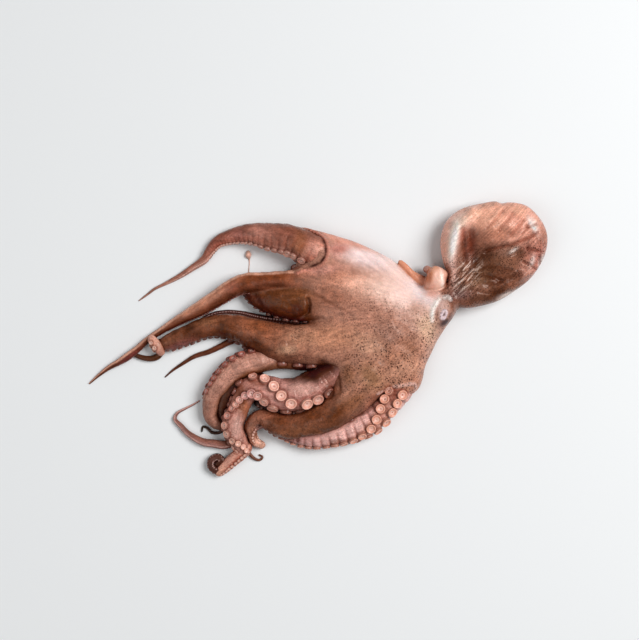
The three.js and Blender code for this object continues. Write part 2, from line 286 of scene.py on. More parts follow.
ARM_LIST = (
    Arm(
        "upper_arm", 1.0,
        (
            (62, 48, 12, 3, 80), (32, 75, 14.5, 0.5, 88), (10, 84, 15.6, 0, 92), (-7, 91.2, 15.8, 0, 95),
            (-27, 100.4, 14.8, 0, 88), (-48, 104.6, 12.9, 0, 80), (-69, 107.2, 9.8, 0, 80),
            (-88, 104.3, 7.2, 0, 84), (-101, 99, 5.7, 0, 90), (-108.8, 90, 4.7, 0, 100),
            (-114.5, 81.7, 4.0, 0, 110), (-126.3, 73.3, 3.1, 0, 125), (-139, 65, 2.4, 0, 115),
            (-154.7, 56.7, 1.6, 0, 105), (-164.7, 51.7, 1.3, 0, 100), (-171.3, 46.7, 1.1, 0, 95),
            (-180.3, 40, 0.5, 0, 90),
        ),
        suckers=(0.275, 0.98), ribs=0.45, emerges=(-0.5, 88.5), sucker_size=0.74, row_angle=28.0,
        pitch=2.0, wet=0.5, back="7f4b3c", flank="b0705f", oral="c48f80", tip="946d5f", sucker="d8a08e",
        dabs=(
            # the first dab is the bulb's pale pink with a painted highlight in it
            Dab(-4, 88, "dc9e8c", 9, 9), Dab(-7, 82, "a8604c", 6, 5, 0, 0.7),
            Dab(-28, 97, "70402f", 8, 6, -10, 0.7), Dab(-44, 101, "b37c6c", 8, 5, -8, 0.7),
            Dab(-18, 97, "a3664c", 7, 12), Dab(-36, 103, "915a4b", 13, 7), Dab(-60, 108, "bd8070", 13, 6),
            # the last dabs here are painted shade along the web's edge round the bulb
            Dab(-80, 106, "9a6257", 9, 7), Dab(-100, 96, "9a5b4d", 12, 8), *WEB_RIM_SHADE,
        ),
    ),
    Arm(
        "upper_arm_root", 0.9,
        (
            (10, 77, 6, 1, 180), (-4, 75.5, 5.6, 0.5, 170), (-16, 74.2, 5.0, 0, 165),
            (-24, 72.6, 3.8, 0, 165),
        ),
        suckers=(0.2, 1.0), sucker_size=1.7, row_angle=25.0, back="8a5445", flank="9a6050", oral="b67f70",
        tip="8a5243", sucker="d29a8a",
    ),
    Arm(
        "ribbon_arm", 1.25,
        (
            (70, 42, 12, 6, 10), (32, 56, 11, 5, 30), (2, 60, 10.5, 4, 45), (-28, 59.5, 10.2, 3, 55),
            (-54.7, 58.3, 10.0, 2, 60), (-71.3, 57.6, 9.8, 1.5, 62), (-83, 53.8, 9.3, 1, 66),
            (-96.3, 45.6, 8.6, 0.5, 70), (-111.3, 36.2, 8.0, 0, 72), (-121.3, 30.2, 7.2, 0, 75),
            (-131.3, 24.8, 5.8, 0, 75), (-144.7, 17.3, 4.4, 0, 75), (-156.3, 10.2, 3.2, 0, 75),
            (-171.3, 0.3, 2.8, 0, 75), (-181, -8.5, 3.2, 0, 75), (-192, -17, 3.6, 0, 75),
            (-200, -22, 2.8, 0, 75), (-208, -26.3, 2.3, 0, 75), (-219.7, -34.7, 1.3, 0, 75),
            (-230, -43.8, 0.5, 0, 75),
        ),
        suckers=(0.28, 0.97), blended=True, thin_from=(-98, 44.6), takes_over=((10, 60), (-40, 59)),
        sucker_size=0.52, wet=0.4, back="8a4d34", flank="704030", oral="5a2c1f", tip="5f352a",
        sucker="8a5548",
        dabs=(
            # painted highlight along the ribbon's raised upper edge: the two long pale dabs and the first
            # stripe
            Dab(-190, -18, "6a3432", 14, 4, 38, 0.8), Dab(-107, 43, "d4947a", 24, 3.6, 32, 0.8),
            Dab(-128, 30, "cc8c72", 13, 3, 28, 0.7), Dab(-86, 54, "94584a", 8, 5, 20, 0.5),
        ),
        stripes=(Stripe(-124, 2.4, 0.7, "dba48c"), Stripe(-98, 1.6, 0.0, "a5604a")),
    ),
    Arm(
        "folded_arm", 0.82,
        (
            (70, 28, 13, 6, 20), (32, 36, 15, 3, 30), (2, 38, 18, 1, 40), (-23, 39, 18.6, 0, 52),
            (-46, 41.8, 15.6, 0, 58), (-60, 44.5, 11.5, 0.5, 62), (-68.5, 48, 7.5, 1.5, 70),
            (-72.5, 51, 4.5, 3, 75),
        ),
        suckers=(0.2, 1.0), blended=True, takes_over=((14, 38), (-18, 39)), sucker_size=0.62, pitch=2.6,
        # the dark flank and mouth side carry painted shade of the crevice under the arm
        back="7c4c34", flank="5a2f1c", oral="5a3226", tip="552a1b", sucker="7d4d40",
    ),
    Arm(
        # a thin strand under the folded arm; its near-black colours are painted shade, and its first
        # stations fill the shaded gap beside the brown arm
        "folded_arm_strand", 0.9,
        (
            (-8, 17.5, 4.6, 0, 150), (-20, 18.5, 4.6, 0, 150), (-34, 20.5, 4.4, 0, 150),
            (-50, 22, 3.0, 0, 150), (-64, 24.6, 2.6, 0, 150), (-76, 27.6, 2.1, 0, 150),
            (-90, 28.8, 2.0, 0, 150), (-103, 27.4, 1.9, 0, 150), (-113, 23.5, 1.7, 0, 150),
            (-122, 18, 1.5, 0, 150),
        ),
        suckers=(0.0, 1.0), sucker_size=1.1, row_angle=30.0, back="3a1d15", flank="452620", oral="5c3832",
        tip="523230", sucker="7c5250",
    ),
    Arm(
        "folded_arm_tip", 1.0,
        (
            (-76, 3, 4.2, 0, 20), (-87, -0.5, 3.5, 0, 30), (-98, -6, 3.0, 0, 30),
            (-110, -11.5, 2.7, 0, 30), (-124, -16, 2.3, 0, 30), (-134, -22, 1.8, 0, 30),
            (-146, -30, 1.2, 0, 30), (-154, -37, 0.6, 0, 30),
        ),
        wet=0.4, back="60372a", flank="6a3f33", oral="7a4a3a", tip="5c3428",
    ),
    Arm(
        "brown_arm", 0.88,
        (
            (72, 15, 16, 8, 0), (37, 4, 19, 4, 28), (7, -3, 20.5, 2, 50), (-18, -3.5, 19.4, 1, 54),
            (-38, -2, 18.4, 0.5, 54), (-57, 4, 16.4, 0, 45), (-70, 8.8, 14.4, 0, 42),
            (-83, 13, 12.7, 0, 38), (-96, 14.7, 11.5, 0, 35), (-108, 14, 10.5, 0, 35),
            (-121, 10, 9.8, 0, 38), (-135, 4, 9.4, 0, 45), (-148, -1.3, 8.6, 0, 50),
            (-157, -4.3, 6.0, 0, 50),
        ),
        suckers=(0.3, 1.0), blended=True, takes_over=((20, -1), (-62, 6)), sucker_size=0.84, pitch=2.6,
        ribs=0.25, wet=0.4, back="9e624a", flank="693a28", oral="7a4b3e", tip="69402f", sucker="bd7f70",
        dabs=(
            # the first dab is a painted highlight, the wet shine on the arm
            Dab(-29, -9, "e0ae8e", 9, 4, 4), Dab(-14, 4, "c08d70", 16, 9, 0),
            Dab(-58, 14, "97593e", 14, 6, -15), Dab(-66, -4, "5f3323", 10, 8, -20),
            # the first dab is painted shade in the valley along the arm
            Dab(-93, 11, "4f2a1b", 12, 9, 0, 0.8), Dab(-112, 19, "8a5a42", 12, 4, 10),
            Dab(-128, 8, "543023", 10, 8, 25, 0.8), Dab(-140, -6, "8a5650", 16, 4, 22),
        ),
        sucker_dabs=(Dab(-100, 0, "70443a", 46, 22),),
    ),
    Arm(
        "brown_arm_tip", 0.9,
        (
            (-166.2, 1.2, 4.3, 5, 245), (-163, -2.8, 4.9, 5.5, 245), (-160, -7.2, 5.0, 5, 245),
            (-157.6, -11.5, 4.2, 3.5, 245),
        ),
        suckers=(0.1, 0.8), sucker_size=1.5, row_angle=32.0, wet=0.6, back="dda795", flank="d89f8b",
        oral="d39684", tip="d09482", sucker="eeb9a4",
    ),
    Arm(
        "brown_arm_end", 1.0,
        (
            (-158, -11.5, 3.7, 1, 0), (-161, -15.8, 3.4, 0.3, 0), (-167, -18.2, 3.1, 0, 0),
            (-175, -17.8, 2.7, 0, 0), (-182, -15.6, 2.4, 0, 0), (-187.5, -13, 1.9, 0, 0),
        ),
        back="553427", flank="6a4335", oral="704a3c", tip="4c2e24",
    ),
    Arm(
        "curled_arm", 1.04,
        (
            (62, 0, 11, 2, -60), (27, -16, 12, 0.5, -75), (-8, -21, 9.6, 0, -84),
            (-38, -19.6, 9.2, 0, -90), (-58, -20.3, 12, 0, -97), (-77, -26, 12, 0, -100),
            (-89, -33.5, 10.9, 0, -102), (-98, -44, 10, 0, -104), (-105, -54, 9, 0, -106),
            (-108, -66, 8.0, 0, -108), (-107.8, -76, 7.0, 0, -106), (-103, -83, 5.8, 0, -120),
            (-95, -87, 4.4, 0, -110),
        ),
        suckers=(0.2, 0.84), ribs=0.25, sucker_size=0.86, row_angle=24.0, pitch=2.2, wet=0.45,
        back="936047", flank="cc9583", oral="cf9886", tip="8f6354", sucker="b4685a",
        # the first dab is painted shade in the crevice where the arm comes out beside the upturned arm
        dabs=(Dab(-8, -26, "522c20", 26, 12), Dab(-44, -30, "7a503c", 14, 6)),
    ),
    # an arm band in the shaded hollow between the curled and upturned arms; its near-black colours are
    # painted shade
    Arm(
        "curled_arm_tip", 1.0,
        (
            (-58, -38, 6.0, 0, 0), (-77, -42, 7.0, 0, 0), (-89, -51, 7.2, 0, 0), (-95, -63, 6.6, 0, 0),
            (-96.5, -75, 5.0, 0, 0), (-95, -86, 3.0, 0, 0), (-98, -92, 1.8, 0, 0), (-106, -93, 1.5, 0, 0),
            (-112, -88, 1.3, 0, 0), (-116, -87, 1.1, 0, 0), (-117, -91.5, 0.9, 0, 0),
        ),
        back="4a2e26", flank="3a241e", oral="3a2e26", tip="2b2925",
    ),
    Arm(
        "upturned_arm", 0.97,
        (
            (62, -10, 14, 2, 40), (27, -24, 15, 1, 60), (10, -36, 15.5, 0.5, 85), (-5, -46, 16.8, 0, 96),
            (-20, -53, 16.6, 0, 104), (-30, -53.6, 15.8, 0.5, 120), (-39.5, -52.4, 15.2, 1, 145),
            (-49, -49.6, 14.2, 2, 168), (-59, -47.3, 13.2, 2, 192), (-68.4, -49.6, 12.2, 2, 208),
            (-74.3, -57.5, 10.4, 3, 228), (-78.4, -67, 9.9, 3.5, 246), (-82.2, -75, 10.4, 3.5, 258),
            (-85, -83, 10.7, 3, 262), (-84.3, -90, 10, 3, 262), (-81.3, -96.5, 9, 2.5, 252),
            (-77.5, -103.5, 8, 2, 215), (-74.5, -110.5, 6.6, 1.5, 195),
        ),
        suckers=(0.12, 1.0), ribs=0.22, sucker_size=1.04, row_angle=40.0, pitch=1.72, wet=0.85,
        back="8a5a4e", flank="ca8e84", oral="d89a8e", tip="b07a6b", sucker="f9b9a4",
        dabs=(
            # the first dab is painted shadow on the arm's root where the web's edge lies over it
            Dab(1, -32, "3c1e15", 26, 10, 25), Dab(12, -42, "a06c60", 8, 8),
            Dab(-14, -48, "d8a497", 16, 6, -6), Dab(-77, -50, "8c5648", 6, 12, 15),
            Dab(-60, -40, "a56c5d", 12, 6), Dab(-74, -66, "9c6048", 7, 14, 20),
            # this dab is a painted highlight, the wet shine down the arm's lower bend
            Dab(-81, -88, "d0a093", 5, 14, -8),
        ),
        sucker_dabs=(
            Dab(-74, -50, "d0938a", 20, 10), Dab(-84, -75, "c98373", 10, 12),
            Dab(-84, -96, "e6ad97", 9, 10), Dab(10, -50, "b87d6d", 12, 14),
        ),
    ),
    Arm(
        "upturned_arm_end", 1.0,
        (
            (-72, -108, 6, 1.5, 115), (-80, -114.5, 6.2, 1, 112), (-87.5, -121, 6.0, 0.5, 110),
            (-94.5, -127.5, 5.4, 0, 108), (-99.5, -132, 4.6, 0, 105),
        ),
        suckers=(0.0, 1.0), sucker_size=0.86, row_angle=24.0, ribs=0.3, wet=0.5, back="b98070",
        flank="cf9684", oral="b4705f", tip="e9ab92", sucker="d99f8b",
    ),
    Arm(
        "upturned_arm_tip", 1.0,
        (
            (-94, -128, 4.4, 0, 150), (-100.5, -130.5, 4.6, 0, 155), (-106.5, -126.5, 4.6, 0, 160),
            (-106.5, -120.5, 4.4, 0, 170), (-100.5, -117.5, 4.2, 1, 170), (-97, -121, 3.8, 2, 170),
            (-101, -124, 3.4, 2.5, 170),
        ),
        suckers=(0.2, 0.9), sucker_size=0.6, back="3d251d", flank="35201a", oral="5a3a34", tip="3a231c",
        sucker="6a4640",
    ),
    Arm(
        "lower_arm", 0.92,
        (
            (66, -8, 17, 3, 10), (42, -37, 19.5, 4, 30), (17, -70.5, 16.5, 3.5, 48),
            (4.5, -78, 15.4, 3, 50), (-9.5, -83, 13.2, 3, 50), (-24.5, -86, 12.2, 3, 48),
            (-37.5, -84.7, 11.6, 2.5, 40), (-49, -80, 9.4, 2.5, 30), (-57.5, -76.5, 7.4, 3, 30),
            (-66, -82, 6.6, 3, 60), (-68, -89, 6.2, 2, 95), (-66.3, -97, 5.4, 1, 140),
            (-62.5, -102, 4.9, 0.5, 165), (-57, -105, 4, 0, 180),
        ),
        suckers=(0.3, 1.0), blended=True, takes_over=((44, -38), (10, -75)), sucker_size=0.72, pitch=2.1,
        wet=0.45, back="905a44", flank="6c4333", oral="7a4a3c", tip="a06a58", sucker="9c6455",
        dabs=(
            Dab(28, -58, "9a664b", 12, 7, 50, 0.9), Dab(56, -61, "a06a55", 12, 8, 45, 0.8),
            Dab(18, -71, "6b3d28", 10, 6, 40), Dab(-4, -74, "6d3f2b", 12, 6, 20),
            Dab(-24, -90, "875640", 20, 5, 8), Dab(-38, -82, "70422f", 10, 8),
            Dab(-66, -92, "a06e5c", 4, 10), Dab(-59, -106, "d9a28d", 8, 6),
        ),
        sucker_dabs=(Dab(-60, -104, "e8b29c", 14, 12),),
    ),
    # flesh that fills the gap between the upturned arm's lower row and the lower arm; its near-black colours
    # are painted shade
    Arm(
        "lower_arm_fold", 0.8,
        (
            (14, -60, 7, 0, 180), (-8, -66, 6.5, 0, 180), (-30, -69.5, 6, 0, 180),
            (-50, -67.5, 5.5, 0, 180), (-60, -62, 5, 0, 180),
        ),
        suckers=(0.0, 1.0), sucker_size=1.2, back="33180f", flank="2c140d", oral="45231a", tip="35190f",
        sucker="7a4a40",
    ),
    Arm(
        "lower_arm_tip", 1.0,
        (
            (-73, -108, 2.2, 1.5, 90), (-69, -114, 1.8, 0, 90), (-64, -119, 1.6, 0, 90),
            (-58.5, -120.5, 1.3, 0, 90), (-56, -117.5, 1.1, 0, 90), (-59, -115.5, 0.9, 0, 90),
        ),
        back="6c4031", flank="7a5040", oral="8a5a4c", tip="6c4031",
    ),
    Arm(
        "outer_arm", 0.96,
        (
            (81, -18, 12.5, 1.5, 205), (86.4, -33, 12.6, 0.5, 200), (83, -47, 13.0, 0.5, 192),
            (75.4, -57.4, 12.8, 0, 186), (66.5, -67.8, 12.6, 0, 172), (59, -74.8, 12.4, 0, 150),
            (50.8, -80.6, 12.3, 0, 126), (42.4, -84.8, 12.2, 0, 108), (29, -89.8, 11.6, 0, 88),
            (12.6, -93.8, 11.0, 0, 76), (-1.3, -96.8, 10.0, 0, 72), (-17, -96.2, 8.7, 0, 70),
            (-32, -92.5, 7.2, 0, 72), (-45, -86, 5.8, 0, 74),
        ),
        suckers=(0.04, 1.0), ribs=1.0, sucker_size=1.1, row_angle=27.0, pitch=2.0, wet=0.6, back="b0766a",
        flank="f0bab0", oral="dca292", tip="9c6969", sucker="eca88f",
        dabs=(Dab(78, -50, "b2705f", 14, 10), Dab(-34, -92, "8a5850", 16, 8)),
    ),
    Arm(
        "outer_arm_tip", 1.0,
        (
            (-40, -89, 5, 0, 60), (-56, -84, 4.8, 0, 60), (-68, -90, 4.6, 0, 60), (-80, -100, 4.4, 0, 60),
            (-94.7, -105.0, 4.3, 0, 60), (-104.7, -103.8, 4.3, 0, 60), (-114.7, -102.4, 4.0, 0, 60),
            (-121.5, -99.5, 3.6, 0, 60), (-131.3, -93.1, 3.0, 0, 60), (-138.2, -85.8, 2.6, 0, 60),
            (-144, -79.2, 2.0, 0, 60), (-142, -73.6, 1.6, 0, 60), (-134.7, -69.2, 1.3, 0, 60),
            (-126.3, -65, 1.0, 0, 60), (-119.3, -60.8, 0.6, 0, 60),
        ),
        wet=0.5, back="8a5c50", flank="a0706a", oral="a0706a", tip="7a5450",
        stripes=(Stripe(150, 0.9, 0.1, "c79a90"),),
    ),
    Arm(
        "skin_scrap", 0.7,
        (
            (-70, 66, 0.5, 0.2, 0), (-69.6, 72, 0.35, 0.2, 0), (-69.2, 78, 0.4, 0.1, 0),
            (-69.4, 82, 0.9, 0, 0), (-70, 84.5, 2.6, 0, 0), (-70.2, 86.5, 3.1, 0, 0),
            (-70.4, 88.3, 2.2, 0, 0),
        ),
        wet=0.5, back="dcab98", flank="d9a793", oral="d9a793", tip="e3b5a3",
    ),
)
ARMS = {arm.name: arm for arm in ARM_LIST}
BLENDED = tuple(name for name, arm in ARMS.items() if arm.blended)


def reach_of(course: Course, place: Pair) -> float:
    """Distance along a course of the sample nearest to a place seen from above."""
    gap = np.hypot(course.centre[:, 0] - place[0], course.centre[:, 1] - place[1])
    return float(course.distance[gap.argmin()])


def part_of(course: Course, start: float, end: float) -> Course:
    """A stretch of a course.

    Args:
        course: The whole course.
        start: Where the stretch starts, in millimetres along it.
        end: Where it ends.

    Returns:
        The stretch.
    """
    keep = (course.distance >= start) & (course.distance <= end)
    values = (getattr(course, name)[keep] for name in Course.__dataclass_fields__)
    return Course(*values)


def shell_faces(rings: int, sides: int) -> tuple[Points, Points]:
    """Faces of a closed stack of rings, whose two poles come last among its points.

    Args:
        rings: Number of rings.
        sides: Points on each ring.

    Returns:
        The faces with four corners between the rings, and the triangles at the poles.
    """
    ring, side = np.meshgrid(np.arange(rings - 1), np.arange(sides), indexing="ij")
    a = ring * sides + side
    b = ring * sides + (side + 1) % sides
    quads = np.stack([a, b, b + sides, a + sides], -1).reshape(-1, 4)
    around = np.arange(sides)
    beyond = (around + 1) % sides
    start, end, top = rings * sides, rings * sides + 1, (rings - 1) * sides
    low = np.stack([np.full(sides, start), beyond, around], -1)
    high = np.stack([np.full(sides, end), top + around, top + beyond], -1)
    return quads, np.vstack([low, high])


def triangles_of(quads: Points, caps: Points) -> Points:
    """Faces with four corners cut in two, with the caps."""
    return np.vstack([quads[:, [0, 1, 2]], quads[:, [0, 2, 3]], caps])


def ring_points(rings: Points, sides: int) -> tuple[Points, Points]:
    """Ring number and angle of each point on rings."""
    return np.repeat(rings, sides), np.tile(np.arange(sides) * math.tau / sides, len(rings))


def tube(course: Course, sides: int, offset: Points | None = None) -> tuple[Points, Points]:
    """Closed skin round a course, with a rounded end at both ends.

    Args:
        course: The sampled arm.
        sides: Number of faces round it.
        offset: How far each point stands out of the plain surface, one row for each sample.

    Returns:
        Vertices and triangles.
    """
    count = len(course.distance)
    points, facing = course.skin(*ring_points(np.arange(count), sides))
    if offset is not None:
        points = points + facing * offset.reshape(-1, 1)
    caps, poles = [], []
    for end, way in ((0, -1.0), (count - 1, 1.0)):
        centre = course.centre[end]
        ring = points[end * sides : (end + 1) * sides] - centre
        reach = course.along[end] * way * course.half_width[end]
        caps.append([ring * math.sqrt(1 - share**2) + centre + reach * share for share in CAP_RINGS])
        poles.append(centre + reach)
    vertices = np.vstack([*caps[0][::-1], points, *caps[1], *poles])
    return vertices, triangles_of(*shell_faces(count + 2 * len(CAP_RINGS), sides))


def ring_rows(course: Course, sides: int) -> tuple[Points, Points]:
    """Sample number and angle of each vertex of a tube, its rounded ends included.

    Args:
        course: The sampled arm.
        sides: Number of faces round it.

    Returns:
        Sample numbers and angles from straight down.
    """
    count = len(course.distance)
    cap = np.zeros(len(CAP_RINGS), int)
    index, angle = ring_points(np.concatenate([cap, np.arange(count), cap + count - 1]), sides)
    return np.concatenate([index, [0, count - 1]]), np.concatenate([angle, [0, 0]])


@dataclass(frozen=True)
class Lumps:
    """Smooth unevenness made of waves in random directions."""

    wavelength: float
    seed: int
    waves: int = 26

    def at(self, points: Points) -> Points:
        """Height at places, about -1 to 1.

        Args:
            points: Places, one row each, in two or three dimensions.

        Returns:
            One height for each place.
        """
        draw = np.random.default_rng(self.seed)
        ways = draw.normal(size=(self.waves, points.shape[1]))
        ways /= np.linalg.norm(ways, axis=1)[:, None]
        lengths = self.wavelength * draw.uniform(0.75, 1.4, self.waves)
        phases = draw.uniform(0, math.tau, self.waves)
        turns = points @ (ways / lengths[:, None]).T * math.tau + phases
        return np.cos(turns).sum(1) / math.sqrt(self.waves)


@dataclass(frozen=True)
class Crease:
    """A narrow valley along a line, or a ridge where its height is positive."""

    line: tuple[Pair, ...]
    height: float
    width: float

    def share(self, x: Points, y: Points) -> Points:
        """How strongly it is felt at places, 1 on the line."""
        nearest = np.full(np.shape(x), 1e9)
        for (ax, ay), (bx, by) in zip(self.line[:-1], self.line[1:]):
            dx, dy = bx - ax, by - ay
            t = np.clip(((x - ax) * dx + (y - ay) * dy) / (dx * dx + dy * dy), 0, 1)
            nearest = np.minimum(nearest, np.hypot(x - ax - t * dx, y - ay - t * dy))
        return np.exp(-((nearest / self.width) ** 2))

    def at(self, x: Points, y: Points) -> Points:
        """Height at places."""
        return self.height * self.share(x, y)

    def painted_shade_share(self, x: Points, y: Points) -> Points:
        """How much painted shade deepens the colour, in a valley."""
        return self.share(x, y) * min(max(-self.height / 3, 0.0), 0.85)

    def painted_light_share(self, x: Points, y: Points) -> Points:
        """How much painted light makes the colour lighter, on a ridge."""
        return self.share(x, y) * min(max(self.height / 4, 0.0), 0.6)


@dataclass(frozen=True)
class Cushion:
    """A rounded body over an outline seen from above."""

    centre: Pair
    outline: tuple[Pair, ...]
    middle: float
    top: float
    bottom: float
    roundness: float
    relief: tuple[Swell | Crease, ...] = ()
    sides: int = 240
    levels: int = 64

    def mesh(self) -> tuple[Points, Points]:
        """Its closed surface.

        Returns:
            Vertices and triangles.
        """
        rim = np.array([self.outline[-1], *self.outline, *self.outline[:2]], float)
        flat = np.column_stack([rim, np.zeros(len(rim))])
        places, _ = spline(flat, np.zeros((len(flat), 1)), 24)
        places = places[24:-24, :2]
        reach = np.concatenate([[0], np.cumsum(np.linalg.norm(np.diff(places, axis=0), axis=1))])
        steps = np.linspace(0, reach[-1], self.sides, endpoint=False)
        ring = np.column_stack([np.interp(steps, reach, column) for column in places.T])
        heart = np.array(self.centre)
        angle = np.linspace(-math.pi / 2, math.pi / 2, self.levels + 2)[1:-1]
        spread = np.cos(angle) ** self.roundness
        plan = heart + (ring - heart)[None] * spread[:, None, None]
        rise = np.where(angle > 0, self.top - self.middle, self.middle - self.bottom) * np.sin(angle)
        height = self.middle + np.repeat(rise[:, None], self.sides, 1)
        upper = np.clip(np.sin(angle) * 1.6, 0, 1)[:, None]
        for form in self.relief:
            height = height + form.at(plan[..., 0], plan[..., 1]) * upper
        vertices = np.concatenate([plan, height[..., None]], -1).reshape(-1, 3)
        pole = self.top + sum(float(form.at(heart[0], heart[1])) for form in self.relief)
        vertices = np.vstack([vertices, [*heart, self.bottom], [*heart, pole]])
        return vertices, triangles_of(*shell_faces(self.levels, self.sides))


WEB = Cushion(
    centre=(60, 10),
    outline=(
        (125, 34), (122.5, 12), (114, -8), (105.5, -26), (99, -43), (94, -46), (82, -46.5), (70, -50),
        (59, -59), (48, -70), (36, -76), (24, -77), (20, -52), (21, -32), (6, -20), (-8, -6), (-4, 22),
        (-7, 36), (-9, 50), (-22, 64.5), (-20, 78), (-19, 92), (-18, 104), (-15, 111.2), (-4, 109.2),
        (8, 106.2), (22, 102), (42, 95), (62, 85.8), (74, 79), (82, 72.6), (90.3, 63.8), (98.7, 56.2),
        (106, 51.2), (116, 45),
    ),
    middle=8, top=39, bottom=-2, roundness=0.9,
)
HEAD = Cushion(
    centre=(120, 32),
    outline=(
        (139, 43), (137, 31), (129.5, 19), (114, 8), (96, 18), (94, 38), (106, 50), (121, 54), (134, 52),
    ),
    middle=12, top=33, bottom=-2, roundness=0.6,
)
MANTLE = Cushion(
    centre=(176, 92),
    outline=(
        (229, 102), (226.5, 86), (219, 71), (209.5, 59.5), (196, 49.3), (180, 39.6), (163, 34.6),
        (147, 32.2), (136, 37), (130.5, 48), (129.5, 64), (125, 78), (122, 95), (123.5, 108), (128, 119),
        (137, 128), (150, 134), (164, 137), (177, 139), (183, 137), (190, 138), (207, 135), (217, 127),
        (225.5, 115),
    ),
    middle=16, top=38, bottom=-2, roundness=0.6,
    relief=(Swell(169, 80, -11, 30, 19, 18), Swell(182, 118, 2, 26, 16)),
)


MANTLE_RELIEF = (
    Crease(((129.5, 62), (131, 78), (131.5, 97), (139, 115), (153, 127)), 5.0, 6.0),
    Crease(((143, 110), (144, 95), (146, 80)), -3.4, 2.6),
    Crease(((150, 106), (152, 90), (155, 80)), -2.8, 4.2), Swell(165, 108, 2.6, 12, 8, 30),
    Crease(((165, 88.5), (178, 92), (192, 95), (208.7, 102), (217, 107)), -2.8, 1.6),
    Crease(((168, 95.5), (192, 100), (206, 106.5), (213, 111)), 2.4, 3.2), Swell(198, 86, -5.5, 9, 5, 20),
    Swell(190.5, 87.5, 2.6, 3.4, 2.6, 40), Crease(((182, 128), (174, 119), (166, 111)), -1.4, 1.3),
    Crease(((178, 127), (168, 117)), 1.0, 1.4), Crease(((192, 126), (184, 116), (178, 108)), -1.4, 1.3),
    Crease(((202, 119), (195, 110), (190, 104)), -1.4, 1.3), Crease(((207, 112), (200, 105)), -1.1, 1.2),
    Crease(((155, 64), (167, 65), (180, 60)), -2.2, 2.2),
    Crease(((162, 72), (178, 74), (190, 70)), -1.4, 1.8),
    Crease(((168, 55), (185, 60), (200, 66)), -1.2, 2.0),
    Crease(((152, 50), (168, 47), (182, 50)), -1.2, 2.0), Swell(212, 118, 2.8, 6, 3.2, -50),
    Swell(217, 104, 2.4, 6, 3.2, -75), Swell(211, 78, 3.0, 7, 3.2, 62), Swell(203, 64, 2.4, 7, 3.2, 40),
    Crease(((206, 112), (216, 115)), -2.2, 1.3), Crease(((207, 91), (222, 88)), -2.6, 1.5),
    Crease(((203, 78), (216, 71)), -2.2, 1.4), Crease(((219.5, 85), (220.5, 76)), -2.8, 1.5),
)
CROWN_RELIEF = (
    Crease(((121, 39), (117, 31), (116, 22)), -1.6, 1.5), Crease(((98, 60), (70, 77), (40, 90)), 0.8, 5),
    Crease(((-10, 68), (30, 68.5), (60, 62)), -0.5, 4), Swell(30, 26, -2.0, 26, 10, -8),
    Swell(40, -22, -2.5, 24, 9, 28), Swell(126, 17, -1.6, 5, 3.4, -20),
    Crease(((-10, 41), (-8.6, 36), (-10, 29), (-19, 22.5), (-34, 19.5)), -4.5, 2.0),
)


@dataclass(frozen=True)
class Fold:
    """A thin rounded fold of skin that lies on the body."""

    line: tuple[Pair, ...]
    radius: float
    rise: float
    colour: str
    beads: float = 0.0


PLEATS = Swell(145, 64, 1, 14, 9, 60)  # fine wrinkles of the neck
FOLDS = (
    Fold(
        (
            (-16, 111.5), (-6.5, 109.4), (2, 105.2), (7.6, 99.6), (10.2, 91.7), (9.2, 82.6), (4.4, 75),
            (-4, 70.6), (-12, 69), (-22, 66.5),
        ),
        1.6, -0.6, "d58a78", 0.28,
    ),
    Fold(
        ((59, -52.5), (68, -47.8), (80, -44.6), (89.5, -43), (94.8, -42.8), (96.6, -46), (94.6, -51)), 1.9,
        -0.5, "edc1b5",
    ),
    # the brow fold's near-white is partly a painted highlight over its paler skin
    Fold(((119.5, 40.5), (115.2, 34), (113, 27), (112.6, 20)), 2.3, -0.9, "fff3ea"),
    Fold(
        (
            (126.7, 27.2), (126.4, 29.4), (124.8, 30), (122.6, 28.2), (121.4, 24.8), (121.8, 22.2),
            (123.4, 21.6), (125.6, 23.4), (126.7, 27),
        ),
        1.0, 0.2, "e6d3da",
    ),
    # this spot's near-white is a painted highlight
    Fold(((130.4, 41), (127.8, 43.2), (124.6, 42.6)), 2.4, -0.8, "fbf0ea"),
)


def pleats_at(x: Points, y: Points) -> Points:
    """Height of the neck's fine slanting wrinkles, about -2 to 2."""
    return Lumps(2.8, 61).at(np.column_stack([(x - y) * 0.8, (x + y) * 0.11])) * 1.2


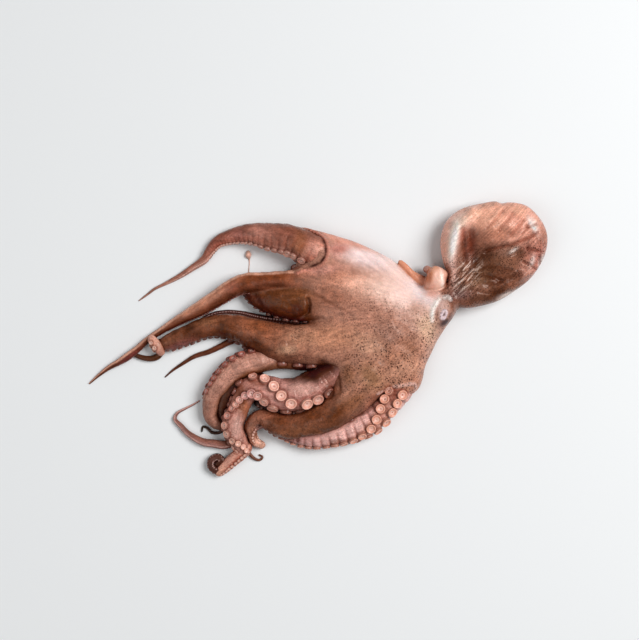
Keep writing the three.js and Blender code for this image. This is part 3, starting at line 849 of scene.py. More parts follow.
class DistanceField:
    """A box of cells, each holding its distance to a surface, negative inside."""

    def __init__(self, low: Triple, high: Triple, step: float, band: int) -> None:
        """Lays out the cells.

        Args:
            low: Lowest corner of the box.
            high: Highest corner.
            step: Edge of a cell.
            band: Cells on either side of a surface within which its distance is known.
        """
        self.low = np.array(low, float)
        self.step = step
        self.band = band
        self.shape = tuple(int(math.ceil(span / step)) for span in np.array(high) - self.low)

    def of(self, vertices: Points, triangles: Points) -> Points:
        """Distances to a closed mesh.

        Args:
            vertices: Its vertices in millimetres.
            triangles: Its triangles.

        Returns:
            The distances in millimetres.
        """
        cells = ((vertices - self.low) / self.step).astype(np.float32)
        grid = openvdb.FloatGrid.createLevelSetFromPolygons(
            cells, triangles=np.ascontiguousarray(triangles, np.uint32), halfWidth=float(self.band)
        )
        values = np.empty(self.shape, np.float32)
        grid.copyToArray(values)
        return values * self.step

    def ball(self, centre: Triple, radii: Triple) -> Points:
        """Distances to an egg shape, near enough close to its surface.

        Args:
            centre: Its middle.
            radii: Half its width along each axis.

        Returns:
            The distances in millimetres.
        """
        axes = [self.low[i] + self.step * np.arange(self.shape[i]) - centre[i] for i in range(3)]
        x, y, z = np.meshgrid(*axes, indexing="ij", sparse=True)
        reach = np.sqrt((x / radii[0]) ** 2 + (y / radii[1]) ** 2 + (z / radii[2]) ** 2)
        return ((reach - 1) * min(radii)).astype(np.float32)

    def surface(self, values: Points) -> tuple[Points, Points]:
        """The surface where the distance is nothing.

        Args:
            values: Distances in millimetres.

        Returns:
            Vertices in millimetres and faces with four corners.
        """
        grid = openvdb.FloatGrid(4.0)
        grid.copyFromArray(np.clip(values, -4, 4).astype(np.float32))
        vertices, quads = grid.convertToQuads(0.0)
        return vertices * self.step + self.low, quads

    def heights(self) -> Points:
        """Height of each layer of cells."""
        return self.low[2] + self.step * np.arange(self.shape[2])

    def top_at(self, values: Points, places: Points) -> Points:
        """Height of the highest skin under places seen from above.

        Args:
            values: Distances at the cells.
            places: Rows of x and y.

        Returns:
            One height for each place.
        """
        i, j = np.round((places - self.low[:2]) / self.step).astype(int).T
        columns = values[i, j]
        last = self.shape[2] - 1 - (columns < 0)[:, ::-1].argmax(1)
        rows = np.arange(len(places))
        inner = columns[rows, last]
        outer = columns[rows, np.minimum(last + 1, self.shape[2] - 1)]
        height = self.heights()[last] + self.step * inner / np.minimum(inner - outer, -0.01)
        return np.where(columns.min(1) < 0, height, 0.0)

    def sample(self, values: Points, points: Points) -> Points:
        """Distances at places between the cells.

        Args:
            values: Distances at the cells.
            points: Places in millimetres.

        Returns:
            One distance for each place.
        """
        spots = np.clip((points - self.low) / self.step, 0, np.array(self.shape) - 1.001)
        cell = spots.astype(int)
        part = spots - cell
        total = np.zeros(len(points))
        for corner in np.ndindex(2, 2, 2):
            weight = np.prod(np.where(corner, part, 1 - part), axis=1)
            i, j, k = (cell + corner).T
            total += weight * values[i, j, k]
        return total


def blend(a: Points, b: Points, reach: float) -> Points:
    """Joins two bodies with a fillet.

    Args:
        a: Distances to the first body.
        b: Distances to the second.
        reach: How wide the fillet is.

    Returns:
        Distances to both together.
    """
    share = np.clip(0.5 + 0.5 * (b - a) / reach, 0, 1)
    return b * (1 - share) + a * share - reach * share * (1 - share)


def soft_step(values: Points, low: float, high: float) -> Points:
    """Rises smoothly from 0 at low to 1 at high."""
    t = np.clip((values - low) / (high - low), 0, 1)
    return t * t * (3 - 2 * t)


def press(vertices: Points, softness: float = 1.0) -> Points:
    """Flattens what would sink into the ground.

    Args:
        vertices: Points in millimetres.
        softness: Height under which the skin starts to flatten.

    Returns:
        The points, all on or above the ground.
    """
    height = vertices[:, 2]
    low = np.minimum(height, softness)
    flat = np.where(height < softness, softness * np.exp(low / softness - 1), height)
    return np.column_stack([vertices[:, :2], flat])


def linear(code: str) -> tuple[float, float, float, float]:
    """Turns an sRGB hex value to a linear colour.

    Args:
        code: The value, such as "c8a090".

    Returns:
        Red, green, blue and alpha.
    """
    parts = (int(code[i : i + 2], 16) / 255 for i in (0, 2, 4))
    return (*(c / 12.92 if c <= 0.04045 else ((c + 0.055) / 1.055) ** 2.4 for c in parts), 1.0)


def shade(code: str) -> Points:
    """A hex value as a linear colour for painting points."""
    return np.array(linear(code)[:3])


def mixed(a: Points, b: Points, share: Points) -> Points:
    """Two sets of colours mixed point by point."""
    return a * (1 - share[:, None]) + b * share[:, None]


def toward(colour: Points, code: str, share: Points) -> Points:
    """Colours mixed with one colour."""
    return mixed(colour, shade(code)[None], share)


def deeper(colour: Points, left: Triple, share: Points) -> Points:
    """Colours that go into shadow, where only so much of red, green and blue is left."""
    return mixed(colour, colour * np.array([left]), share)


def dabbed(colour: Points, dabs: tuple[Dab, ...], points: Points, share: Points | float = 1.0) -> Points:
    """Lays patches of colour over points.

    Args:
        colour: One colour for each point.
        dabs: The patches.
        points: Places in millimetres.
        share: How strongly all of them are laid on.

    Returns:
        The new colours.
    """
    for dab in dabs:
        colour = toward(colour, dab.colour, dab.share(points[:, 0], points[:, 1]) * share)
    return colour


CROWN_DABS = (
    Dab(106, 2, "c8998a", 18, 36, 12), Dab(107, 14, "ecc2a6", 9, 16, 10),
    Dab(57, -60, "8e5a48", 11, 6, -45, 0.8), Dab(68, -45, "c08a72", 10, 8, -30, 0.7),
    Dab(22, 60, "ba7a62", 11, 7, 0, 0.6), Dab(24, 96, "c87a62", 8, 4, -15, 0.6),
    Dab(18, 84, "cf8a78", 4, 7, 0, 0.5), Dab(82, -10, "a9735c", 24, 24), Dab(70, 8, "aa7b6a", 16, 12),
    Dab(46, -3, "c8977f", 18, 9, -20), Dab(10, 3, "c88c70", 30, 13), Dab(10, 44, "ac725c", 22, 12),
    Dab(24, 61, "bf7f67", 16, 6), Dab(44, 54, "e9ae96", 20, 9, -10), Dab(68, 50, "efc5b4", 22, 12, -20),
    Dab(86, 45, "f3cfc4", 18, 12, -30), Dab(99, 31, "cd9f8d", 9, 8), Dab(84, -32, "d39a80", 20, 12, 30),
    Dab(66, -46, "c48c74", 12, 8, 30), Dab(52, -36, "a5765b", 16, 10, -60),
    # the dark dabs at (4, -22) and (13, -48) are painted shadow where the web lies over the upturned arm
    Dab(92, -40, "b07862", 12, 8, 0, 0.6), Dab(4, -22, "6a3a2c", 7, 4, -20, 0.8),
    Dab(13, -48, "54291e", 7, 12), Dab(30, -34, "96664c", 7, 13, 10, 0.8),
    Dab(-42, 44, "8f573c", 17, 8, -12, 0.7), Dab(-34, 52, "7a4a34", 18, 3, 2, 0.7),
    # painted shade: the dark dab at (-9, 31) in the hollow by the folded arm, and the line of dark dabs
    # along the web's edge over the upturned arm
    Dab(-9, 31, "2e140d", 2, 6, 8, 0.9), Dab(13, -24, "3c1c13", 7, 1.3, -12, 0.8),
    Dab(20.3, -34, "3a1a12", 6, 1.4, -70, 0.9), Dab(22, -45, "3a1a12", 1.4, 7, 0, 0.9),
    Dab(19.5, -54, "3f1f15", 5, 1.4, 66, 0.8), Dab(36, -61, "a06b50", 14, 7, 40),
    Dab(58, -59, "a56c58", 14, 6, 40), Dab(21, -69, "6b3d28", 9, 6, 50),
    Dab(88, 66, "f4d1c6", 46, 14, -38), Dab(50, 82, "f7dbd7", 26, 9, -14),
    Dab(104, 48, "f8e4e2", 16, 8, -40), Dab(113, 47, "e8ab98", 7, 5, 10, 0.8),
    Dab(34, 99, "df9883", 34, 4.5, -17), Dab(20, 91, "d48e80", 9, 5), Dab(6, 70, "dd9c8a", 18, 4, 10),
    # the first dabs here are painted shade along the web's edge round the upper arm's bulb
    *WEB_RIM_SHADE, Dab(125.5, 18.2, "40262a", 6, 3.4, 25, 1.0), Dab(131.6, 24, "5a3a3a", 2.4, 4.4, 10, 0.8),
    # painted highlights: the near-white dabs on the brow arc left of the eye and the spot above it
    Dab(116.2, 36.7, "fff6ee", 5, 2.2, 53), Dab(112.9, 28.3, "fff6ee", 6, 2.0, 80),
    Dab(128.6, 40.6, "fbf0ea", 3.4, 2.2, -40), Dab(124.1, 25.8, "dcc0bf", 2.6, 4.0, -25),
    Dab(124.1, 25.8, "2c1a1e", 0.8, 1.5, -25), Dab(133, 38, "d9b97f", 3, 3, 0, 0.6),
)
MANTLE_DABS = (
    Dab(127, 94, "f2ad96", 8, 34, -10), Dab(141, 113, "b8604c", 6, 13, -14, 0.9),
    Dab(141, 113, "bd6f5b", 4.5, 8, 20), Dab(134, 66, "d9a799", 5, 12),
    Dab(140, 118, "f3c3b2", 14, 10, 40), Dab(174, 126, "eaad94", 30, 14, 4),
    # the dark dab at (170, 78) is the hollow's own brown deepened with painted shade
    Dab(202, 122, "dd9a85", 20, 16, -30), Dab(170, 78, "553529", 26, 16, 10),
    Dab(174, 54, "523022", 36, 16, 12), Dab(194, 56, "8a5a48", 9, 8, 30),
    # the first dab is painted shade in the pocket beside the left ridge
    Dab(150, 93, "93594a", 5, 15, -8), Dab(208, 96, "c08372", 12, 12), Dab(196, 99, "d09480", 16, 5, 18),
    # the first dab is painted shade in the dent
    Dab(197, 86, "5d382a", 9, 5, 20), Dab(156, 60, "7c5844", 13, 10, 30),
    # the second dab is a painted highlight beside the dent
    Dab(183, 79, "7c5442", 12, 8, 20, 0.8), Dab(188, 90, "a87a68", 9, 7, 0, 0.8),
    Dab(134, 66, "cfa092", 8, 10, 0, 0.8), Dab(141, 46, "84605a", 12, 5, 8),
    Dab(144, 66, "9a6b58", 7, 12, 10), Dab(217, 80, "b87668", 9, 16, -25),
    # painted highlights: both near-white dabs, on the left ridge and on the upper right rim
    Dab(133.6, 98, "fff0e8", 4.0, 18, -9, 0.9), Dab(211.5, 114, "fff8f4", 2.2, 7, 28, 0.9),
    Dab(192, 78, "a4705a", 9, 7, 10, 0.75), Dab(207, 70, "c48a78", 8, 9, 20, 0.7),
    Dab(182, 60, "7e5140", 13, 8, 20, 0.75), Dab(162, 50, "966856", 9, 6, 10, 0.75),
    # painted highlights: both pale dabs, on the lower edge and on the right rim
    Dab(187, 44, "dccbc2", 10, 3, 28, 0.7), Dab(222, 78, "e6dad4", 2.6, 8, -10, 0.7),
    # the second dab is a painted highlight on the upper right rim
    Dab(198, 129, "f2b69c", 9, 5, -20, 0.7), Dab(213, 116, "f0d4ca", 4, 8, 28, 0.6),
    # painted highlights: the pale dab at (193, 89) beside the dent and the one on the next line on the right
    # rim
    Dab(177, 105, "d08d74", 7, 6, 0, 0.6), Dab(193, 89, "f4e2d8", 4.5, 1.5, 35, 0.8),
    Dab(211.5, 78, "f6dcd2", 2.2, 6, -15, 0.7),
)
CRUMPLED = Swell(212, 92, 1, 12, 34, -8)  # the uneven rim of the mantle
CALM_PLACES = (Swell(70, 72, 1.8, 60, 26, -32), Swell(129, 95, 2, 9, 36, -4))  # plain pale skin
WET_PLACES = (
    Swell(137, 97, 1, 3.5, 22, -4), Swell(214, 118, 1, 8, 5, -50), Swell(211, 78, 1, 8, 5, 60),
    Swell(204, 63, 1, 8, 5, 40), Swell(190, 88, 1, 5, 4, 30), Swell(124, 27, 1, 6, 7),
    Swell(114, 30, 1, 4, 12), Swell(128, 43, 1, 5, 4), Swell(119, 62, 1, 10, 12),
    Swell(84, -45, 1, 20, 4, 8), Swell(60, 86, 1, 50, 12, -26),
)


@dataclass
class Skin:
    """A piece before it goes to Blender: its shape, and what is painted on its points."""

    vertices: Points
    faces: Points
    tint: Points
    dots: Points
    wet: Points
    specks: Points
    calm: Points
    pleats: Points
    fibre: Points

    def to_blender(self, name: str, material: bpy.types.Material) -> bpy.types.Object:
        """Makes the piece.

        Args:
            name: Name of the piece.
            material: Its finish.

        Returns:
            The new object.
        """
        piece = make_piece(name, self.vertices, self.faces)
        mesh = piece.data
        set_attribute(mesh, "tint", "FLOAT_COLOR", np.clip(self.tint - SHEEN, 0.004, 1))
        set_attribute(mesh, "fibre", "FLOAT_VECTOR", self.fibre)
        for mark in ("calm", "pleats", "dots", "wet", "specks"):
            set_attribute(mesh, mark, "FLOAT", getattr(self, mark))
        mesh.materials.append(material)
        declare(piece)
        return piece


def linked(name: str, data: bpy.types.ID) -> bpy.types.Object:
    """Adds an object to the scene.

    Args:
        name: Name of the object.
        data: Its mesh, light or camera.

    Returns:
        The object.
    """
    made = bpy.data.objects.new(name, data)
    bpy.context.collection.objects.link(made)
    return made


def smooth_mesh(name: str, vertices: Points, faces: list) -> bpy.types.Mesh:
    """Makes a mesh with smooth shading.

    Args:
        name: Name of the mesh.
        vertices: Points in metres.
        faces: Corner numbers.

    Returns:
        The mesh.
    """
    mesh = bpy.data.meshes.new(name)
    mesh.from_pydata(vertices.tolist(), [], faces)
    mesh.update()
    mesh.shade_smooth()
    return mesh


def make_piece(name: str, vertices: Points, faces: Points) -> bpy.types.Object:
    """A smooth mesh object from points in millimetres."""
    return linked(name, smooth_mesh(name, vertices * MM, faces.tolist()))


def baked(piece: bpy.types.Object) -> bpy.types.Mesh:
    """A plain mesh of a piece with its modifier applied."""
    return bpy.data.meshes.new_from_object(piece.evaluated_get(bpy.context.evaluated_depsgraph_get()))


def points_of(mesh: bpy.types.Mesh) -> Points:
    """Its points in millimetres."""
    points = np.empty(len(mesh.vertices) * 3, np.float32)
    mesh.vertices.foreach_get("co", points)
    return points.reshape(-1, 3).astype(float) / MM


def declare(piece: bpy.types.Object) -> None:
    """Hangs a finished piece on the body, hides the imported part that it stands for, and logs its faces."""
    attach(piece, BODY)
    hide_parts(NODE)
    LOG.info("%s: %d faces", piece.name, len(piece.data.polygons))


def set_attribute(mesh: bpy.types.Mesh, name: str, kind: str, values: Points) -> None:
    """Stores one value for each vertex.

    Args:
        mesh: The mesh.
        name: Name of the attribute.
        kind: FLOAT, FLOAT_VECTOR or FLOAT_COLOR.
        values: One row for each vertex.
    """
    attribute = mesh.attributes.new(name, kind, "POINT")
    if kind == "FLOAT_COLOR":
        values = np.column_stack([values, np.ones(len(values))])
    field_name = {"FLOAT": "value", "FLOAT_VECTOR": "vector", "FLOAT_COLOR": "color"}[kind]
    attribute.data.foreach_set(field_name, np.asarray(values, np.float32).ravel())


def thinned(vertices: Points, faces: Points, keep: Points, share: float) -> tuple[Points, Points]:
    """Takes faces out of the parts of a skin that need few.

    Args:
        vertices: Points in millimetres.
        faces: Corner numbers.
        keep: For each point, 1 where nothing is taken out and 0 where most is.
        share: Share of the faces that is left in all.

    Returns:
        The new points and triangles.
    """
    piece = make_piece("thinning", vertices, faces)
    group = piece.vertex_groups.new(name="thin")
    for level in np.unique(np.round(keep, 1)):
        members = np.nonzero(np.round(keep, 1) == level)[0].tolist()
        group.add(members, float(1 - level), "REPLACE")
    modifier = piece.modifiers.new("thin", "DECIMATE")
    modifier.ratio = share
    modifier.vertex_group = group.name
    modifier.use_collapse_triangulate = True
    mesh = baked(piece)
    corners = np.empty(len(mesh.polygons) * 3, np.int32)
    mesh.polygons.foreach_get("vertices", corners)
    bpy.data.objects.remove(piece)
    return points_of(mesh), corners.reshape(-1, 3)


def normals_of(vertices: Points, faces: Points) -> Points:
    """Outward direction at each point of a mesh.

    Args:
        vertices: The points.
        faces: Corner numbers, three or four to a face.

    Returns:
        One direction for each point.
    """
    a, b, c = (vertices[faces[:, i]] for i in (0, 1, faces.shape[1] - 1))
    flat = np.cross(b - a, c - a)
    total = np.zeros_like(vertices)
    for corner in range(faces.shape[1]):
        np.add.at(total, faces[:, corner], flat)
    return total / np.maximum(np.linalg.norm(total, axis=1), 1e-9)[:, None]


@dataclass(frozen=True)
class Suckers:
    """Where the suckers of an arm sit."""

    points: Points
    facing: Points
    radius: Points
    tone: Points

    def pick(self, here: Points) -> "Suckers":
        """Those that a mask names."""
        return Suckers(*(getattr(self, name)[here] for name in self.__dataclass_fields__))


@dataclass
class Limb:
    """An arm's course with its suckers' rhythm, its relief and its colours."""

    arm: Arm
    course: Course

    def __post_init__(self) -> None:
        """Works out the beat of the suckers, one for each sucker in a row."""
        course = self.course
        size = np.minimum(course.half_width, course.half_height)
        self.sucker = SUCKER_SHARE * self.arm.sucker_size * size
        pitch = self.arm.pitch * np.maximum(self.sucker, 0.4)
        self.pitch = pitch
        steps = np.diff(course.distance) / (0.5 * (pitch[1:] + pitch[:-1]))
        self.beat = np.concatenate([[0], np.cumsum(steps)])

    def take_over(self, index: Points) -> Points:
        """How far the arm's own look has taken over from the web's, along the arm."""
        if not self.arm.takes_over:
            return np.ones(len(index))
        start, end = (reach_of(self.course, place) for place in self.arm.takes_over)
        return soft_step(self.course.distance[index], start, end)

    def on_stripe(self, stripe: Stripe, index: Points, angle: Points) -> Points:
        """How strongly a stripe covers places on the arm."""
        off = (np.degrees(angle) - stripe.angle + 180) % 360 - 180
        width = self.course.half_width[index]
        half = np.minimum(stripe.half_width, 0.75 * width)
        return 1 - soft_step(np.abs(np.radians(off)) * width / half, 0.6, 1.25)

    def off_mouth_side(self, index: Points, angle: Points) -> Points:
        """Angles from the middle line between the two rows of suckers, -180 to 180 degrees."""
        turned = np.degrees(angle - self.course.turn[index])
        return (turned + 180) % 360 - 180

    def creases(self, index: Points, angle: Points) -> Points:
        """Depth of the creases that run up the flanks between the suckers, from 0 to 1.

        Args:
            index: Sample numbers.
            angle: Angles round the arm.

        Returns:
            One depth for each pair.
        """
        off = self.off_mouth_side(index, angle)
        beat = self.beat[index] + np.where(off > 0, 0.5, 0.0)
        gap = np.abs(beat - np.round(beat)) * self.pitch[index]
        reach = np.abs(off) - self.arm.row_angle
        window = soft_step(reach, -4, 12) * (1 - soft_step(reach, 45, 95))
        width = 0.12 * self.pitch[index] + 0.2
        return np.exp(-((gap / width) ** 2)) * window

    def pads(self, index: Points, angle: Points) -> Points:
        """Height of the flesh that swells under each sucker.

        Args:
            index: Sample numbers.
            angle: Angles round the arm.

        Returns:
            One height for each pair.
        """
        off = self.off_mouth_side(index, angle)
        beat = self.beat[index] + np.where(off > 0, 0.0, 0.5)
        along = (beat - np.round(beat)) * self.pitch[index]
        across = np.radians(np.abs(off) - self.arm.row_angle) * self.course.half_width[index]
        radius = np.maximum(self.sucker[index], 0.4)
        first, last = (share * self.course.length for share in self.arm.suckers)
        here = (self.course.distance[index] > first - 3) & (self.course.distance[index] < last + 3)
        return 0.3 * radius * np.exp(-((along**2 + across**2) / (1.15 * radius) ** 2)) * here

    def relief(self, index: Points, angle: Points) -> Points:
        """Height of everything on the arm's plain surface: ribs, pads, lumps and small wrinkles.

        Args:
            index: Sample numbers.
            angle: Angles round the arm.

        Returns:
            One height for each pair.
        """
        size = self.course.half_width[index]
        places, _ = self.course.skin(index, angle)
        across = np.column_stack([self.course.distance[index], angle * 3])
        wrinkles = Lumps(2.6, 43).at(across) * soft_step(np.abs(self.off_mouth_side(index, angle)), 30, 70)
        ribs = self.arm.ribs * size * (0.025 - 0.125 * self.creases(index, angle))
        for stripe in self.arm.stripes:
            ribs = ribs + stripe.height * self.on_stripe(stripe, index, angle)
        return ribs + self.pads(index, angle) + size * (0.02 * Lumps(9, 41).at(places) + 0.008 * wrinkles)

    def paint(self, index: Points, angle: Points, points: Points) -> Points:
        """Colours of the arm's skin.

        Args:
            index: Sample numbers.
            angle: Angles round the arm.
            points: The same places in millimetres.

        Returns:
            One colour for each place.
        """
        arm = self.arm
        off = np.abs(self.off_mouth_side(index, angle))
        share = self.course.distance[index] / self.course.length
        wander = 14 * Lumps(26, 5).at(points)
        colour = toward(shade(arm.oral)[None], arm.flank, soft_step(off + wander * 0.4, 40, 65))
        colour = toward(colour, arm.back, soft_step(off + wander, 95, 145))
        colour = toward(colour, arm.tip, soft_step(share, 0.6, 1.0) * 0.8)
        colour = dabbed(colour, arm.dabs, points)
        around = self.course.half_width[index] * angle
        streaks = Lumps(7, 11).at(np.column_stack([self.course.distance[index] / 5, around]))
        threads = Lumps(2.4, 13).at(np.column_stack([self.course.distance[index] / 7, around]))
        blotches = Lumps(12, 12).at(points)
        colour = colour * np.clip(1 + 0.13 * streaks + 0.07 * threads + 0.08 * blotches, 0.5, 1.5)[:, None]
        for stripe in arm.stripes:
            colour = toward(colour, stripe.colour, self.on_stripe(stripe, index, angle))
        # painted shade in the creases between the suckers
        folds = self.creases(index, angle) * min(1.0, 1.2 * arm.ribs)
        return deeper(colour, BETWEEN_SUCKERS_SHADE, 0.85 * folds)

    def suckers(self) -> Suckers:
        """Places of both rows of suckers."""
        course, arm = self.course, self.arm
        ends = (float(np.interp(share * course.length, course.distance, self.beat)) for share in arm.suckers)
        first, last = ends
        beats = np.arange(math.ceil(first * 2), math.floor(last * 2) + 1) / 2
        row = np.where(np.round(beats * 2) % 2 == 0, 1.0, -1.0)
        index = np.clip(np.searchsorted(self.beat, beats), 0, len(course.distance) - 1)
        keep = self.sucker[index] > SMALLEST_SUCKER
        index, row = index[keep], row[keep]
        radius = self.sucker[index]
        points, facing = course.skin(index, course.turn[index] + row * math.radians(arm.row_angle))
        points = points + facing * (0.2 * radius)[:, None]
        tone = dabbed(np.tile(shade(arm.sucker), (len(points), 1)), arm.sucker_dabs, points)
        return Suckers(points, facing, radius, tone)


def add_node(
    tree: bpy.types.NodeTree, kind: str, values: dict | None = None, **settings: object
) -> bpy.types.Node:
    """Adds a node with its settings and links.

    Args:
        tree: Where the node goes.
        kind: Blender's name for the node.
        values: For each of its inputs, a number, a colour, or a node and the name of that node's output.
        settings: The node's own options.

    Returns:
        The node.
    """
    node = tree.nodes.new(kind)
    for key, value in settings.items():
        setattr(node, key, value)
    for key, value in (values or {}).items():
        socket = node.inputs[key]
        if isinstance(value, tuple) and isinstance(value[0], bpy.types.Node):
            tree.links.new(value[0].outputs[value[1]], socket)
        else:
            socket.default_value = value
    return node


class Finish:
    """A material in the making, with the nodes that octopus flesh needs more than once."""

    SUBSURFACE = {"Subsurface Radius": (1.0, 0.4, 0.25), "Subsurface Scale": 2.0 * MM}
    WATER = {"Coat IOR": 1.34}

    def __init__(self, name: str) -> None:
        """Starts with an empty node tree and the place on the object."""
        self.material = bpy.data.materials.new(name)
        self.material.use_nodes = True
        self.tree = self.material.node_tree
        self.tree.nodes.clear()
        self.place = (add_node(self.tree, "ShaderNodeTexCoord"), "Object")

    def mark(self, name: str, output: str = "Fac") -> Link:
        """What is painted on the mesh under a name."""
        return add_node(self.tree, "ShaderNodeAttribute", attribute_name=name), output

    def noise(self, size: float, detail: float, **more: float) -> Link:
        """Noise of a size in millimetres."""
        values = {"Vector": self.place, "Scale": 1 / (size * MM), "Detail": detail, **more}
        return add_node(self.tree, "ShaderNodeTexNoise", values), "Fac"

    def ranged(
        self, source: Link, low: float, high: float, start: Link | float, end: float, smooth: bool = False
    ) -> Link:
        """Maps a value.

        Args:
            source: The value.
            low: Where it gives start.
            high: Where it gives end.
            start: The first result.
            end: The last result.
            smooth: Whether it leaves and arrives softly.

        Returns:
            The mapped value.
        """
        values = {"Value": source, "From Min": low, "From Max": high, "To Min": start, "To Max": end}
        kind = "SMOOTHSTEP" if smooth else "LINEAR"
        return add_node(self.tree, "ShaderNodeMapRange", values, interpolation_type=kind), "Result"

    def maths(self, operation: str, *terms: Link | float) -> Link:
        """A sum of numbers and links."""
        return add_node(self.tree, "ShaderNodeMath", dict(enumerate(terms)), operation=operation), "Value"

    def scaled(self, colour: Link, tone: Link) -> Link:
        """A colour made lighter or darker."""
        values = {0: colour, "Scale": tone}
        return add_node(self.tree, "ShaderNodeVectorMath", values, operation="SCALE"), "Vector"

    def toward(self, colour: Link, code: str, share: Link) -> Link:
        """A colour mixed with another one."""
        values = {"Factor": share, "A": colour, "B": linear(code)}
        return add_node(self.tree, "ShaderNodeMix", values, data_type="RGBA"), "Result"

    def bump(self, height: Link, strength: float, depth: float, **under: Link) -> Link:
        """Relief of a depth in millimetres, laid over the one before it."""
        values = {"Height": height, "Strength": strength, "Distance": depth * MM, **under}
        return add_node(self.tree, "ShaderNodeBump", values), "Normal"

    def done(self, values: dict) -> bpy.types.Material:
        """Ends the material.

        Args:
            values: The shader's inputs that are this finish's own.

        Returns:
            The material.
        """
        shader = add_node(self.tree, "ShaderNodeBsdfPrincipled", {**self.SUBSURFACE, **self.WATER, **values})
        add_node(self.tree, "ShaderNodeOutputMaterial", {"Surface": (shader, "BSDF")})
        return self.material


@dataclass(frozen=True)
class WetSkin:
    """Raw octopus skin, washed: thin, elastic and moist, so it shines in patches and lets a little light in.

    Its dark chromatophores are dots about a millimetre across, 2.4 mm apart on the web, and specks 1.7 mm
    apart on the mantle and, fainter, on the web and the arms. Fine streaks follow the fibres of the muscle.
    """

    name: str = "raw_octopus_skin"
    dot_spacing: float = 2.35
    dot_size: float = 0.29
    dot_colour: str = "44241c"
    speck_spacing: float = 1.7
    speck_size: float = 0.33
    speck_colour: str = "3a1f17"
    # painted highlight and painted shade along the neck's fine wrinkles
    pleat_highlight: str = "f0d8ca"
    pleat_shade: str = "4a2a1f"
    mottle: float = 9.0
    grain: float = 1.5
    fibre: float = 1.7
    roughness_low: float = 0.30
    roughness_high: float = 0.56
    roughness_wettest: float = 0.12

    def material(self) -> bpy.types.Material:
        """Makes the material.

        Returns:
            The material.
        """
        skin = Finish(self.name)
        streak_values = {"Vector": skin.mark("fibre", "Vector"), "Scale": 1 / self.fibre, "Detail": 2.5}
        streaks = (add_node(skin.tree, "ShaderNodeTexNoise", {**streak_values, "Roughness": 0.6}), "Fac")
        tone = skin.ranged(skin.noise(self.mottle, 3.0), 0.3, 0.7, 0.84, 1.16)
        for source, low, high in ((skin.noise(self.grain, 2.0), 0.80, 1.20), (streaks, 0.74, 1.26)):
            tone = skin.maths("MULTIPLY", tone, skin.ranged(source, 0.3, 0.7, low, high))
        tone = skin.ranged(skin.mark("calm"), 0.0, 1.4, tone, 1.0)
        colour = skin.scaled(skin.mark("tint", "Color"), tone)
        pleats = skin.mark("pleats")
        # painted highlight and painted shade along the streaks where the neck is wrinkled
        for low, high, code in ((0.50, 0.60, self.pleat_highlight), (0.48, 0.38, self.pleat_shade)):
            line = skin.ranged(streaks, low, high, 0.0, 0.85)
            colour = skin.toward(colour, code, skin.maths("MULTIPLY", line, pleats))
        colour = self.spotted(skin, colour)
        dry = skin.ranged(skin.noise(6, 2.0), 0.35, 0.65, self.roughness_low, self.roughness_high)
        rough = skin.maths("MULTIPLY_ADD", skin.mark("wet"), -0.34, dry)
        pores = skin.bump(skin.noise(1.1, 2.0), 0.35, 0.25)
        wrinkles = skin.bump(skin.noise(4, 3.0, Distortion=0.6), 0.5, 0.8, Normal=pores)
        return skin.done(
            {
                "Base Color": colour,
                "Roughness": skin.maths("MAXIMUM", rough, self.roughness_wettest),
                "Normal": skin.bump(streaks, 0.32, 0.5, Normal=wrinkles),
                "IOR": 1.35,
                "Specular Tint": (1.0, 0.80, 0.70, 1.0),
                "Subsurface Weight": 0.08,
                "Coat Weight": 0.06,
                "Coat Roughness": 0.15,
            }
        )

    def spotted(self, skin: Finish, colour: Link) -> Link:
        """Adds the chromatophores, denser in some places than in others.

        Args:
            skin: The material in the making.
            colour: Colour of the skin without them.

        Returns:
            The colour with them.
        """
        stretched = {0: skin.place, 1: (1.0, 1.0, 0.35)}
        laid = (add_node(skin.tree, "ShaderNodeVectorMath", stretched, operation="MULTIPLY"), "Vector")
        here = skin.ranged(skin.noise(8, 2.0), 0.34, 0.60, 0.25, 1.0)
        for mark, spacing, size, code in (
            ("dots", self.dot_spacing, self.dot_size, self.dot_colour),
            ("specks", self.speck_spacing, self.speck_size, self.speck_colour),
        ):
            values = {"Vector": laid, "Scale": 1 / (spacing * MM), "Randomness": 0.8}
            cells = (add_node(skin.tree, "ShaderNodeTexVoronoi", values), "Distance")
            spot = skin.ranged(cells, size + 0.12, size - 0.06, 0.0, 1.0, smooth=True)
            share = skin.maths("MULTIPLY", skin.maths("MULTIPLY", spot, skin.mark(mark)), here)
            colour = skin.toward(colour, code, share)
        return colour


@dataclass(frozen=True)
class SuckerFlesh:
    """Sucker muscle under thin clear skin: paler and smoother than the arm, red rim, dark pit."""

    name: str = "raw_sucker_flesh"
    dish: str = "fbd9cd"
    groove: str = "b8624c"
    # painted shade on the cup's outer wall, where it meets the arm
    outer_wall_shade: str = "6e3a2e"
    pit: str = "9a5a4c"
    groove_radius: float = 0.66

    def material(self) -> bpy.types.Material:
        """Makes the material.

        Returns:
            The material.
        """
        flesh = Finish(self.name)
        ring = flesh.mark("ring")
        tone = flesh.ranged(flesh.noise(2.2, 2.0), 0.3, 0.7, 0.86, 1.12)
        colour = flesh.scaled(flesh.mark("tint", "Color"), tone)
        off_groove = flesh.maths("ABSOLUTE", flesh.maths("ADD", ring, -self.groove_radius))
        for source, low, high, code, amount in (
            (ring, 0.60, 0.30, self.dish, 0.45),
            (off_groove, 0.14, 0.0, self.groove, 0.30),
            (ring, 0.95, 1.05, self.outer_wall_shade, 0.85),
            (ring, 0.20, 0.08, self.pit, 0.60),
        ):
            colour = flesh.toward(colour, code, flesh.ranged(source, low, high, 0.0, amount, smooth=True))
        return flesh.done(
            {
                "Base Color": colour,
                "Roughness": 0.32,
                "Normal": flesh.bump(flesh.noise(0.8, 1.0), 0.3, 0.15),
                "IOR": 1.4,
                "Subsurface Weight": 0.12,
                "Coat Weight": 0.4,
                "Coat Roughness": 0.12,
            }
        )


